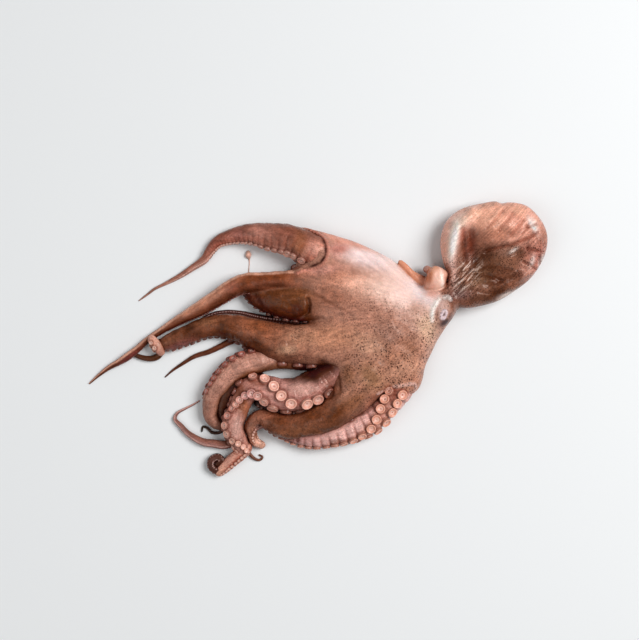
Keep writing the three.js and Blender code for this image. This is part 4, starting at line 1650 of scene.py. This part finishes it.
@dataclass(frozen=True)
class Cup:
    """One sucker of radius 1 that faces up: a foot, a raised rim, a shallow funnel and a pit."""

    sides: int
    profile: tuple[Pair, ...]
    grooves: int = 0
    groove_depth: float = 0.0

    def build(self, name: str) -> bpy.types.Object:
        """Makes it, with how far each point is from its axis stored as ring.

        Args:
            name: Name of the object.

        Returns:
            The object.
        """
        angle = np.arange(self.sides) * math.tau / self.sides
        rings, marks = [], []
        for number, (radius, height) in enumerate(self.profile):
            wave = self.groove_depth * np.cos(self.grooves * angle) * (0.3 < radius < 0.95 and number > 4)
            rings.append(np.column_stack([radius * np.cos(angle), radius * np.sin(angle), height + wave]))
            outside = number < len(self.profile) / 3 and radius < 1
            marks.append(np.full(self.sides, 2 - radius if outside else radius))
        low, high = self.profile[0][1], self.profile[-1][1] - 0.03
        vertices = np.vstack([*rings, [(0, 0, low)], [(0, 0, high)]])
        quads, caps = shell_faces(len(self.profile), self.sides)
        piece = linked(name, smooth_mesh(name, vertices, [*quads.tolist(), *caps.tolist()]))
        set_attribute(piece.data, "ring", "FLOAT", np.concatenate([*marks, [1.4, 0.0]]))
        return piece


LARGE_CUP = Cup(
    20,
    (
        (0.84, -0.6), (0.92, -0.25), (1.0, 0.05), (1.02, 0.2), (0.98, 0.36), (0.9, 0.45), (0.82, 0.45),
        (0.72, 0.37), (0.6, 0.28), (0.46, 0.24), (0.3, 0.22), (0.18, 0.17), (0.1, 0.08),
    ),
    10, 0.014,
)
MIDDLE_CUP = Cup(
    12, ((0.8, -0.5), (1.0, 0.05), (0.99, 0.28), (0.86, 0.4), (0.7, 0.35), (0.28, 0.31), (0.12, 0.15))
)
SMALL_CUP = Cup(8, ((0.8, -0.5), (1.0, 0.1), (0.86, 0.4), (0.3, 0.28)))


class CupBed:
    """Sets a sucker on every marked point with Geometry Nodes."""

    TILT = math.radians(9)
    UNEVENNESS = 0.06
    SEED = 7

    def tree(self, template: bpy.types.Object, material: bpy.types.Material) -> bpy.types.NodeTree:
        """Builds the nodes.

        Args:
            template: The sucker that is repeated.
            material: Its finish.

        Returns:
            The node tree.
        """
        tree = bpy.data.node_groups.new("sucker_bed", "GeometryNodeTree")
        kinds = {"Geometry": "Geometry", "Size": "Float", "Unevenness": "Float", "Seed": "Int"}
        for name, kind in kinds.items():
            tree.interface.new_socket(name, in_out="INPUT", socket_type="NodeSocket" + kind)
        tree.interface.new_socket("Geometry", in_out="OUTPUT", socket_type="NodeSocketGeometry")
        entry = add_node(tree, "NodeGroupInput")
        seed = {"Seed": (entry, "Seed")}
        cup = add_node(tree, "GeometryNodeObjectInfo", {"Object": template})
        points = add_node(tree, "GeometryNodeMeshToPoints", {"Mesh": (entry, "Geometry")})
        attribute = "GeometryNodeInputNamedAttribute"
        facing = add_node(tree, attribute, {"Name": "facing"}, data_type="FLOAT_VECTOR")
        size = add_node(tree, attribute, {"Name": "size"}, data_type="FLOAT")
        links = {"Vector": (facing, "Attribute")}
        aim = add_node(tree, "FunctionNodeAlignRotationToVector", links, axis="Z")
        limits = {0: (-self.TILT, -self.TILT, -math.pi), 1: (self.TILT, self.TILT, math.pi)}
        roll = add_node(tree, "FunctionNodeRandomValue", {**limits, **seed}, data_type="FLOAT_VECTOR")
        roll_turn = add_node(tree, "FunctionNodeEulerToRotation", {"Euler": (roll, 0)})
        turns = {"Rotation": (aim, "Rotation"), "Rotate By": (roll_turn, "Rotation")}
        turned = add_node(tree, "FunctionNodeRotateRotation", turns, rotation_space="LOCAL")
        low, high = (
            add_node(tree, "ShaderNodeMath", {0: 1.0, 1: (entry, "Unevenness")}, operation=operation)
            for operation in ("SUBTRACT", "ADD")
        )
        limits = {2: (low, "Value"), 3: (high, "Value")}
        vary = add_node(tree, "FunctionNodeRandomValue", {**limits, **seed}, data_type="FLOAT")
        scale = (size, "Attribute")
        for factor in ((entry, "Size"), (vary, 1)):
            scale = (add_node(tree, "ShaderNodeMath", {0: scale, 1: factor}, operation="MULTIPLY"), "Value")
        setting = {"Points": (points, "Points"), "Instance": (cup, "Geometry"), "Scale": scale}
        setting["Rotation"] = (turned, "Rotation")
        placed = add_node(tree, "GeometryNodeInstanceOnPoints", setting)
        real = add_node(tree, "GeometryNodeRealizeInstances", {"Geometry": (placed, "Instances")})
        finish = {"Geometry": (real, "Geometry"), "Material": material}
        dressed = add_node(tree, "GeometryNodeSetMaterial", finish)
        add_node(tree, "NodeGroupOutput", {"Geometry": (dressed, "Geometry")})
        return tree

    def build(self, name: str, places: Suckers, cup: Cup, material: bpy.types.Material) -> bpy.types.Object:
        """Makes one piece of many suckers.

        Args:
            name: Name of the piece.
            places: Where they sit.
            cup: The sucker that is repeated.
            material: Its finish.

        Returns:
            The piece.
        """
        template = cup.build(name + "_template")
        seeds = bpy.data.meshes.new(name)
        seeds.from_pydata((places.points * MM).tolist(), [], [])
        set_attribute(seeds, "facing", "FLOAT_VECTOR", places.facing)
        set_attribute(seeds, "size", "FLOAT", places.radius)
        set_attribute(seeds, "tint", "FLOAT_COLOR", places.tone)
        holder = linked(name, seeds)
        tree = self.tree(template, material)
        modifier = holder.modifiers.new("bed", "NODES")
        modifier.node_group = tree
        items = tree.interface.items_tree
        sockets = {item.name: item.identifier for item in items if item.in_out == "INPUT"}
        modifier[sockets["Size"]] = MM
        modifier[sockets["Unevenness"]] = self.UNEVENNESS
        modifier[sockets["Seed"]] = self.SEED
        mesh = baked(holder)
        holder.modifiers.remove(modifier)
        holder.data = mesh
        mesh.shade_smooth()
        points = press(points_of(mesh)) * MM
        mesh.vertices.foreach_set("co", points.astype(np.float32).ravel())
        mesh.update()
        bpy.data.objects.remove(template)
        declare(holder)
        return holder


BEAD_SPACING = 3.6
POCKET_FLOOR = 7.0  # under this height the web stays joined to the arms that come from under it
SLEEVES = {"upper_arm": (26, 79), "upturned_arm": (30, -24), "outer_arm": (87, -40), "curled_arm": (40, -10)}
POCKETS = {"upper_arm": (-7, 91.5), "upturned_arm": (5, -39.5), "outer_arm": (80, -56)}
FUNNEL = Cushion(
    centre=(117.5, 62),
    outline=(
        (115.7, 74.4), (123.8, 72.2), (129, 67), (128.2, 61.5), (125.6, 54), (121, 49), (113, 48),
        (106.5, 51), (107.6, 60), (110, 70),
    ),
    middle=20, top=33, bottom=4, roundness=0.5, sides=80, levels=24,
)
STRIP = Arm(
    "strip", 0.7,
    (
        (105, 54.5, 3.6, 9, 0), (99, 61.5, 3.4, 10, 0), (91, 69.8, 3.2, 11, 0), (85, 75.8, 3.0, 11, 0),
        (82.5, 78, 2.6, 11, 0),
    ),
)
MOUTH = Swell(70, 12, 1, 6, 6)
FUNNEL_DABS = (
    Dab(110, 65, "d48a66", 4.5, 9, -10), Dab(115, 73, "e8a586", 5, 3, -20),
    # painted highlights down the funnel's right side
    Dab(122.4, 60, "ffeade", 1.8, 9, 4), Dab(118, 58, "f6c9b8", 4, 9, 5, 0.7),
    Dab(113, 54, "eab09c", 6, 3, 0, 0.8),
)
BRIDGE = Arm("bridge", 0.8, ((95, 67, 3, 8, 0), (100.5, 62, 5, 7, 0), (107, 57.5, 6, 8, 0)))
HEM = Arm("hem", 0.6, ((106, 50, 4, 1, 0), (97, 60, 4, 1, 0), (88, 69, 3.6, 1, 0), (81, 75.5, 2.6, 1, 0)))
KNOB = ((109, 71.2, 13), (4.0, 3.8, 5))
BROW = ((122, 27, 28.5), (8.5, 8.5, 6.5))


class Octopus:
    """The whole animal's skin and suckers."""

    SIDES = 40
    OVERLAP = 14.0  # how far a free arm's own skin reaches back into the body
    WEB_COLOUR = "b8826e"
    MANTLE_COLOUR = "9a6654"
    UNDERSIDE = "c08a7c"
    MOUTH_DARK = "4a2620"
    MOUTH_RISE = 3.0

    def __init__(self) -> None:
        """Samples the arms, lays out the distance field, and shapes the body and the rows of suckers."""
        self.limbs = {name: Limb(arm, course_of(arm, 1.0)) for name, arm in ARMS.items()}
        self.field = DistanceField((-236, -138, -6), (236, 146, 48), SKIN_STEP, 15)
        self.shape_body()
        self.cups = self.suckers()

    def tube_field(self, arm: Arm) -> Points:
        """Distances to a whole arm or strip of skin."""
        return self.field.of(*tube(course_of(arm, 1.0), self.SIDES))

    def arm_field(
        self, name: str, swell: float = 0.0, start: Pair | None = None, end: Pair | None = None
    ) -> Points:
        """Distances to an arm.

        Args:
            name: Name of the arm.
            swell: Thickness added all round.
            start: Place at which the stretch begins, or the arm's own start.
            end: Place at which it ends, or the arm's own end.

        Returns:
            Distances in millimetres.
        """
        course = course_of(ARMS[name], 1.5, swell)
        first = reach_of(course, start) if start else 0.0
        last = reach_of(course, end) if end else course.length
        return self.field.of(*tube(part_of(course, first, last), self.SIDES))

    def fold_field(self, fold: Fold, ground: Points) -> Points:
        """Distances to a fold of skin.

        Args:
            fold: The fold.
            ground: Distances to the body that it lies on.

        Returns:
            Distances in millimetres.
        """
        tops = self.field.top_at(ground, np.array(fold.line, float)) + fold.rise - (1 - SAG) * fold.radius
        stations = tuple((x, y, fold.radius, top, 0) for (x, y), top in zip(fold.line, tops))
        course = course_of(Arm("fold", 1.0, stations), 0.7)
        swell = fold.beads * fold.radius * np.cos(course.distance / BEAD_SPACING * math.tau)
        return self.field.of(*tube(course, 16, np.repeat(swell, 16)))

    def shape_body(self) -> None:
        """Blends the web, head, mantle and the arms that grow from the web unbroken."""
        field = self.field
        self.web = field.of(*WEB.mesh())
        crown = self.web
        for name, end in SLEEVES.items():
            crown = blend(crown, self.arm_field(name, 1.5, None, end), 9)
        crown = blend(crown, field.of(*HEAD.mesh()), 9)
        whole = crown.copy()
        self.arm_fields = {}
        for name in BLENDED:
            near = self.arm_field(name, 0.0, None, ARMS[name].thin_from)
            self.arm_fields[name] = near
            whole = blend(whole, blend(crown, near, 12), 3)
        self.mantle = field.of(*MANTLE.mesh())
        self.funnel = field.of(*FUNNEL.mesh())
        self.strip, self.bridge = self.tube_field(STRIP), self.tube_field(BRIDGE)
        self.knob = field.ball(*KNOB)
        for near, reach in (
            (self.mantle, 7),
            (field.ball(*BROW), 4),
            (self.funnel, 2.5),
            (self.tube_field(HEM), 1.5),
            (self.bridge, 2),
            (blend(self.strip, self.knob, 1), 1.5),
        ):
            whole = blend(whole, near, reach)
        ground = whole
        above = np.maximum(0, POCKET_FLOOR - field.heights())[None, None]
        for name, start in POCKETS.items():
            hole = np.maximum(self.arm_field(name, 1.2, start), above + np.where(above > 0, 1.0, -99.0))
            whole = np.maximum(whole, -hole)
        self.folds = [self.fold_field(fold, ground) for fold in FOLDS]
        for near in self.folds:
            whole = blend(whole, near, 1.2)
        self.whole = whole
        self.flesh = whole
        for name, arm in ARMS.items():
            if arm.free:
                self.flesh = np.minimum(self.flesh, self.arm_field(name, -0.3, arm.emerges or arm.thin_from))

    def inside(self, near: Points, points: Points, low: float, high: float) -> Points:
        """How surely places are inside a body.

        Args:
            near: Distances to the body at the cells.
            points: The places in millimetres.
            low: Depth in the body at which the share is 0.
            high: Depth at which it is 1.

        Returns:
            One share for each place.
        """
        return soft_step(-self.field.sample(near, points), low, high)

    def on_mantle(self, points: Points) -> Points:
        """How far places belong to the mantle and not to the web or the funnel."""
        nearer = self.field.sample(self.web, points) - self.field.sample(self.mantle, points)
        return soft_step(nearer, -3, 4) * (1 - self.inside(self.funnel, points, -2.5, -0.5))

    def crowding(self, points: Points, normals: Points) -> Points:
        """How closed in places are by flesh or by the ground.

        Args:
            points: Places in millimetres.
            normals: The outward direction at each.

        Returns:
            For each, 0 in the open to 1 in a narrow gap.
        """
        total = np.zeros(len(points))
        for reach, weight in ((2.5, 0.25), (5.0, 0.35), (9.0, 0.40)):
            spots = points + normals * reach
            free = np.minimum(self.field.sample(self.flesh, spots), spots[:, 2])
            total += weight * (1 - np.clip(free / reach, 0, 1))
        return total

    def shadowed(self, colour: Points, points: Points, normals: Points) -> Points:
        """Colours made deeper by painted shade where flesh lies close to flesh or to the ground."""
        share = 0.85 * soft_step(self.crowding(points, normals), 0.12, 0.85)
        share *= 1 - 0.6 * soft_step(normals[:, 2], 0.65, 0.95)
        return deeper(colour, CROWDED_SHADE, share)

    def groove_shaded(self, colour: Points, points: Points) -> Points:
        """Colours made deeper by painted shade in the groove round each sucker.

        Args:
            colour: The colours.
            points: Their places in millimetres.

        Returns:
            The colours with painted shade in the grooves.
        """
        share = np.zeros(len(points))
        for place, radius in zip(self.cups.points, self.cups.radius):
            if radius < SMALLEST_GROOVED:
                continue
            near = np.nonzero(np.abs(points - place).max(1) < 1.6 * radius)[0]
            gap = np.linalg.norm(points[near] - place, axis=1) / radius
            share[near] = np.maximum(share[near], 1 - soft_step(np.abs(gap - 1.1), 0.08, 0.32))
        return deeper(colour, ROUND_A_SUCKER_SHADE, 0.8 * share)

    def paint_crown(self, points: Points) -> Points:
        """Colours of the web and head before the arms' own.

        Args:
            points: Places in millimetres.

        Returns:
            One colour for each place.
        """
        x, y = points[:, 0], points[:, 1]
        colour = dabbed(np.tile(shade(self.WEB_COLOUR), (len(points), 1)), CROWN_DABS, points)
        across, up = (points[:, :2] - STREAK_HEART).T
        around, radius = np.degrees(np.arctan2(up, across)), np.hypot(across, up)
        streaks = Lumps(5, 21).at(np.column_stack([around, radius / 14]))
        threads = Lumps(2.2, 22).at(np.column_stack([around, radius / 10]))
        colour = colour * (1 + (0.08 * streaks + 0.04 * threads) * soft_step(radius, 30, 90))[:, None]
        # painted shade in the web's creases
        for form in CROWN_RELIEF:
            if isinstance(form, Crease):
                colour = deeper(colour, WEB_CREASE_SHADE, form.painted_shade_share(x, y))
        bodies = (self.bridge, self.strip, self.knob, self.funnel)
        for near, code in zip(bodies, ("c9876e", "dc977a", "caa096", "f2bca6")):
            colour = toward(colour, code, self.inside(near, points, -1.6, -0.4))
        colour = dabbed(colour, FUNNEL_DABS, points, self.inside(self.funnel, points, -1.2, -0.2))
        # painted shadow down the funnel's right side, and the same red-brown along its left edge
        rim = Swell(127.5, 58, 1, 2.6, 9, 8).share(x, y) + 0.6 * Swell(111, 61, 1, 3.0, 9, 12).share(x, y)
        return toward(colour, "c0705c", 0.7 * np.clip(rim, 0, 1))

    def paint_mantle(self, points: Points) -> Points:
        """Colours of the mantle.

        Args:
            points: Places in millimetres.

        Returns:
            One colour for each place.
        """
        x, y = points[:, 0], points[:, 1]
        colour = dabbed(np.tile(shade(self.MANTLE_COLOUR), (len(points), 1)), MANTLE_DABS, points)
        # painted shade in the mantle's valleys and painted light on its ridges
        for form in MANTLE_RELIEF:
            if isinstance(form, Crease):
                colour = deeper(colour, MANTLE_CREASE_SHADE, form.painted_shade_share(x, y))
                colour = mixed(colour, np.minimum(colour * 1.35, 0.95), form.painted_light_share(x, y))
        return colour

    def dress_arms(self, points: Points, colour: Points, rise: Points) -> Points:
        """Gives the arms that are part of the body their own colours and relief, in the arrays handed in.

        Args:
            points: Places on the body in millimetres.
            colour: One colour for each place.
            rise: One height for each place.

        Returns:
            How far each place belongs to an arm.
        """
        arms = np.zeros(len(points))
        away = {name: self.field.sample(near, points) for name, near in self.arm_fields.items()}
        web = self.field.sample(self.web, points)
        for name, gap in away.items():
            limb = self.limbs[name]
            others = np.min([other for key, other in away.items() if key != name], axis=0)
            close = np.nonzero((gap < 6) & (gap < others + 2))[0]
            index, angle = nearest_on(limb.course, points[close])
            share = soft_step(others[close] - gap[close], -2, 2) * soft_step(web[close] - gap[close], -14, 2)
            share *= limb.take_over(index) * (1 - soft_step(gap[close], 2, 6))
            colour[close] = mixed(colour[close], limb.paint(index, angle, points[close]), share)
            rise[close] += share * limb.relief(index, angle)
            arms[close] = np.maximum(arms[close], share)
        return arms

    def sculpted(self, plan: Points, points: Points, on_mantle: Points) -> Points:
        """Height of the folds, hollows and wrinkles on the top of the body.

        Args:
            plan: Places before the arms' relief, seen from above.
            points: The places themselves.
            on_mantle: How far each belongs to the mantle.

        Returns:
            One height for each place.
        """
        x, y = plan[:, 0], plan[:, 1]
        height = sum(form.at(x, y) for form in MANTLE_RELIEF) * on_mantle
        height += sum(form.at(x, y) for form in CROWN_RELIEF) * (1 - on_mantle)
        height += 0.9 * Lumps(8, 33).at(points) * on_mantle * CRUMPLED.share(x, y)
        return height + 0.45 * pleats_at(x, y) * PLEATS.share(x, y)

    def marks(
        self, plan: Points, points: Points, normals: Points, on_mantle: Points, arms: Points
    ) -> dict[str, Points]:
        """What steers the finish of the body.

        Args:
            plan: Places before the relief, seen from above.
            points: The places themselves.
            normals: The outward direction at each before the relief.
            on_mantle: How far each belongs to the mantle.
            arms: How far each belongs to an arm.

        Returns:
            The marks by name.
        """
        x, y = plan[:, 0], plan[:, 1]
        up = soft_step(normals[:, 2], 0.0, 0.5)
        plain = np.minimum(self.field.sample(self.funnel, points), self.field.sample(self.bridge, points))
        calm = soft_step(-plain, -3, 0)
        for place in CALM_PLACES:
            calm = np.maximum(calm, np.clip(place.at(x, y), 0, 1))
        calm *= 1 - 0.5 * on_mantle
        skin = up * (1 - on_mantle) * (1 - calm)
        specks = up * on_mantle * soft_step(-(y - 95 - 0.2 * (x - 175)), -10, 12)
        specks += skin * (0.42 - 0.1 * arms)
        wet = 0.12 + 0.55 * on_mantle
        for place in WET_PLACES:
            wet = np.maximum(wet, 1.25 * place.share(x, y))
        away, over = (plan[:, :2] - FIBRE_HEART).T
        crown_way = (np.hypot(away, over) / 6, np.arctan2(over, away) % math.tau * 55, 0 * x)
        mantle_way = ((x + y) / 11, (x - y) / 1.4, 0 * x + 50)
        return {
            "dots": skin * soft_step(x - 0.35 * (y - 30), 0, 70) * (1 - 0.8 * arms),
            "wet": np.clip(wet, 0, 1),
            "specks": np.clip(specks, 0, 1),
            "calm": calm,
            "pleats": np.clip(1.4 * PLEATS.share(x, y), 0, 1) * on_mantle,
            "fibre": np.where(on_mantle > 0.5, mantle_way, crown_way).T,
        }

    def body(self) -> Skin:
        """Meshes and paints the body."""
        vertices, faces = self.field.surface(self.whole)
        normals = normals_of(vertices, faces)
        keep = soft_step(normals[:, 2], -0.6, 0.1) * soft_step(vertices[:, 2], 1.0, 5.0)
        plain, faces = thinned(vertices, faces, keep, KEPT_FACES)
        normals = normals_of(plain, faces)
        on_mantle = self.on_mantle(plain)
        top = soft_step(normals[:, 2], 0.1, 0.6)
        below = soft_step(-normals[:, 2], 0.3, 0.7)
        mouth = MOUTH.share(plain[:, 0], plain[:, 1]) * below
        colour = mixed(self.paint_crown(plain), self.paint_mantle(plain), on_mantle)
        rise = (0.35 * Lumps(14, 31).at(plain) + 0.10 * Lumps(4, 32).at(plain)) * top
        arms = self.dress_arms(plain, colour, rise)
        for fold, near in zip(FOLDS, self.folds):
            share = 1 - soft_step(self.field.sample(near, plain), -0.4 * fold.radius, 0.9)
            colour = toward(colour, fold.colour, share)
        colour = toward(colour, self.UNDERSIDE, below)
        colour = toward(colour, self.MOUTH_DARK, np.clip(1.4 * mouth, 0, 1))
        # painted shade where flesh closes in and in the grooves round the suckers
        colour = self.groove_shaded(self.shadowed(colour, plain, normals), plain)
        vertices = plain + normals * rise[:, None]
        vertices[:, 2] += self.sculpted(plain, vertices, on_mantle) * top
        vertices = press(vertices)
        vertices[:, 2] += self.MOUTH_RISE * mouth
        return Skin(vertices, faces, colour, **self.marks(plain, vertices, normals, on_mantle, arms))

    def limb_skin(self, name: str) -> Skin:
        """Sweeps and paints one arm that comes from under the web, or an arm's end."""
        limb = self.limbs[name]
        whole = limb.course
        start = 0.0
        if limb.arm.blended:
            start = reach_of(whole, limb.arm.thin_from) - self.OVERLAP
        elif limb.arm.emerges:
            start = reach_of(whole, limb.arm.emerges)
        course = part_of(whole, start, whole.length)
        count = len(course.distance)
        first = len(whole.distance) - count
        index, angle = ring_points(np.arange(count), self.SIDES)
        vertices, faces = tube(course, self.SIDES, limb.relief(index + first, angle))
        index, angle = ring_rows(course, self.SIDES)
        index = index + first
        colour = limb.paint(index, angle, vertices)
        # painted shade where flesh closes in and in the grooves round the suckers
        colour = self.groove_shaded(self.shadowed(colour, vertices, normals_of(vertices, faces)), vertices)
        none = np.zeros(len(vertices))
        around = whole.half_width[index] * np.minimum(angle, math.tau - angle)
        marks = {"dots": none, "wet": none + limb.arm.wet, "specks": none + 0.32, "calm": none + 0.3}
        marks["fibre"] = np.column_stack([whole.distance[index] / 6, around, none + 90])
        return Skin(press(vertices), faces, colour, pleats=none, **marks)

    def suckers(self) -> Suckers:
        """All suckers that are not buried in the body."""
        limbs = [limb for limb in self.limbs.values() if limb.arm.suckers[1] > 0]
        rows = [limb.suckers() for limb in limbs]
        names = Suckers.__dataclass_fields__
        every = Suckers(*(np.concatenate([getattr(row, name) for row in rows]) for name in names))
        # the blend with the web thickens an arm, and its suckers move out with the skin
        grown = np.repeat([limb.arm.blended for limb in limbs], [len(row.points) for row in rows])
        points, facing, radius = every.points, every.facing, every.radius[:, None]
        for _ in range(2):
            sunk = np.clip(-self.field.sample(self.whole, points), 0, 5.0) * grown
            points = points + facing * sunk[:, None]
        # painted shade on suckers where flesh closes them in
        tone = self.shadowed(every.tone, points + facing * (0.6 * radius), facing)
        buried = self.field.sample(self.whole, points + facing * 0.5 * radius) < -1.0
        return Suckers(points, facing, every.radius, tone).pick(~buried)

    def build(self) -> None:
        """Makes every piece of the animal."""
        skin = WetSkin().material()
        flesh = SuckerFlesh().material()
        self.body().to_blender("body_skin", skin)
        for name, arm in ARMS.items():
            if arm.free:
                self.limb_skin(name).to_blender(name, skin)
        for name, low, high, cup in (
            ("large_suckers", 3.2, 9.0, LARGE_CUP),
            ("middle_suckers", 1.5, 3.2, MIDDLE_CUP),
            ("small_suckers", 0.0, 1.5, SMALL_CUP),
        ):
            places = self.cups.pick((self.cups.radius > low) & (self.cups.radius <= high))
            LOG.info("%s: %d of them", name, len(places.radius))
            CupBed().build(name, places, cup, flesh)


def nearest_on(course: Course, points: Points) -> tuple[Points, Points]:
    """Where places lie along and round an arm.

    Args:
        course: The sampled arm.
        points: The places.

    Returns:
        Sample numbers and angles from straight down.
    """
    index = np.empty(len(points), int)
    for start in range(0, len(points), 4000):
        chunk = points[start : start + 4000]
        gap = ((chunk[:, None, :] - course.centre[None]) ** 2).sum(-1)
        index[start : start + 4000] = gap.argmin(1)
    away = points - course.centre[index]
    across = (away * course.side[index]).sum(1) / course.half_width[index]
    upward = (away * course.up[index]).sum(1) / course.half_height[index]
    return index, np.arctan2(across, -upward)


class Studio:
    """Ground, light and camera."""

    def build(self) -> None:
        """Makes them all."""
        mesh = bpy.data.meshes.new("floor")
        mesh.from_pydata([(-3, -3, 0), (3, -3, 0), (3, 3, 0), (-3, 3, 0)], [], [(0, 1, 2, 3)])
        floor = linked("floor", mesh)
        mesh.materials.append(self.ground())
        lens = bpy.data.cameras.new("camera")
        lens.sensor_width = SENSOR
        lens.lens = SENSOR * (CAMERA_HEIGHT - SHARP_HEIGHT) / PHOTO_WIDTH
        lens.clip_end = 20
        camera = linked("camera", lens)
        camera.location = (CAMERA_X * MM, CAMERA_Y * MM, CAMERA_HEIGHT * MM)
        bpy.context.scene.camera = camera
        self.lamp("key", (1.70, 0.62, 2.15), 1.5, 69)
        self.lamp("fill", (-1.3, -0.4, 1.7), 1.6, 10)
        world = bpy.data.worlds.new("studio")
        world.use_nodes = True
        sky = world.node_tree.nodes["Background"].inputs
        sky["Color"].default_value = (1, 1, 1, 1)
        sky["Strength"].default_value = 0.21
        bpy.context.scene.world = world
        bpy.context.scene.view_settings.view_transform = "Standard"

    def ground(self) -> bpy.types.Material:
        """Pale matt ground."""
        made = bpy.data.materials.new("pale_ground")
        made.use_nodes = True
        shader = made.node_tree.nodes["Principled BSDF"]
        shader.inputs["Base Color"].default_value = linear("eff1f2")
        shader.inputs["Roughness"].default_value = 0.6
        return made

    def lamp(self, name: str, place: Triple, size: float, power: float) -> None:
        """Adds a softbox aimed at the octopus.

        Args:
            name: Its name.
            place: Where it hangs, in metres.
            size: Edge of the box.
            power: Its power in watts.
        """
        light = bpy.data.lights.new(name, "AREA")
        light.shape = "SQUARE"
        light.size = size
        light.energy = power
        lamp = linked(name, light)
        lamp.location = place
        lamp.rotation_euler = (-Vector(place)).to_track_quat("-Z", "Y").to_euler()


def main() -> None:
    """Builds the octopus, its ground, light and camera."""
    Octopus().build()
    Studio().build()


if __name__ == "__main__":
    logging.basicConfig(level=logging.INFO, format="%(message)s")
    main()
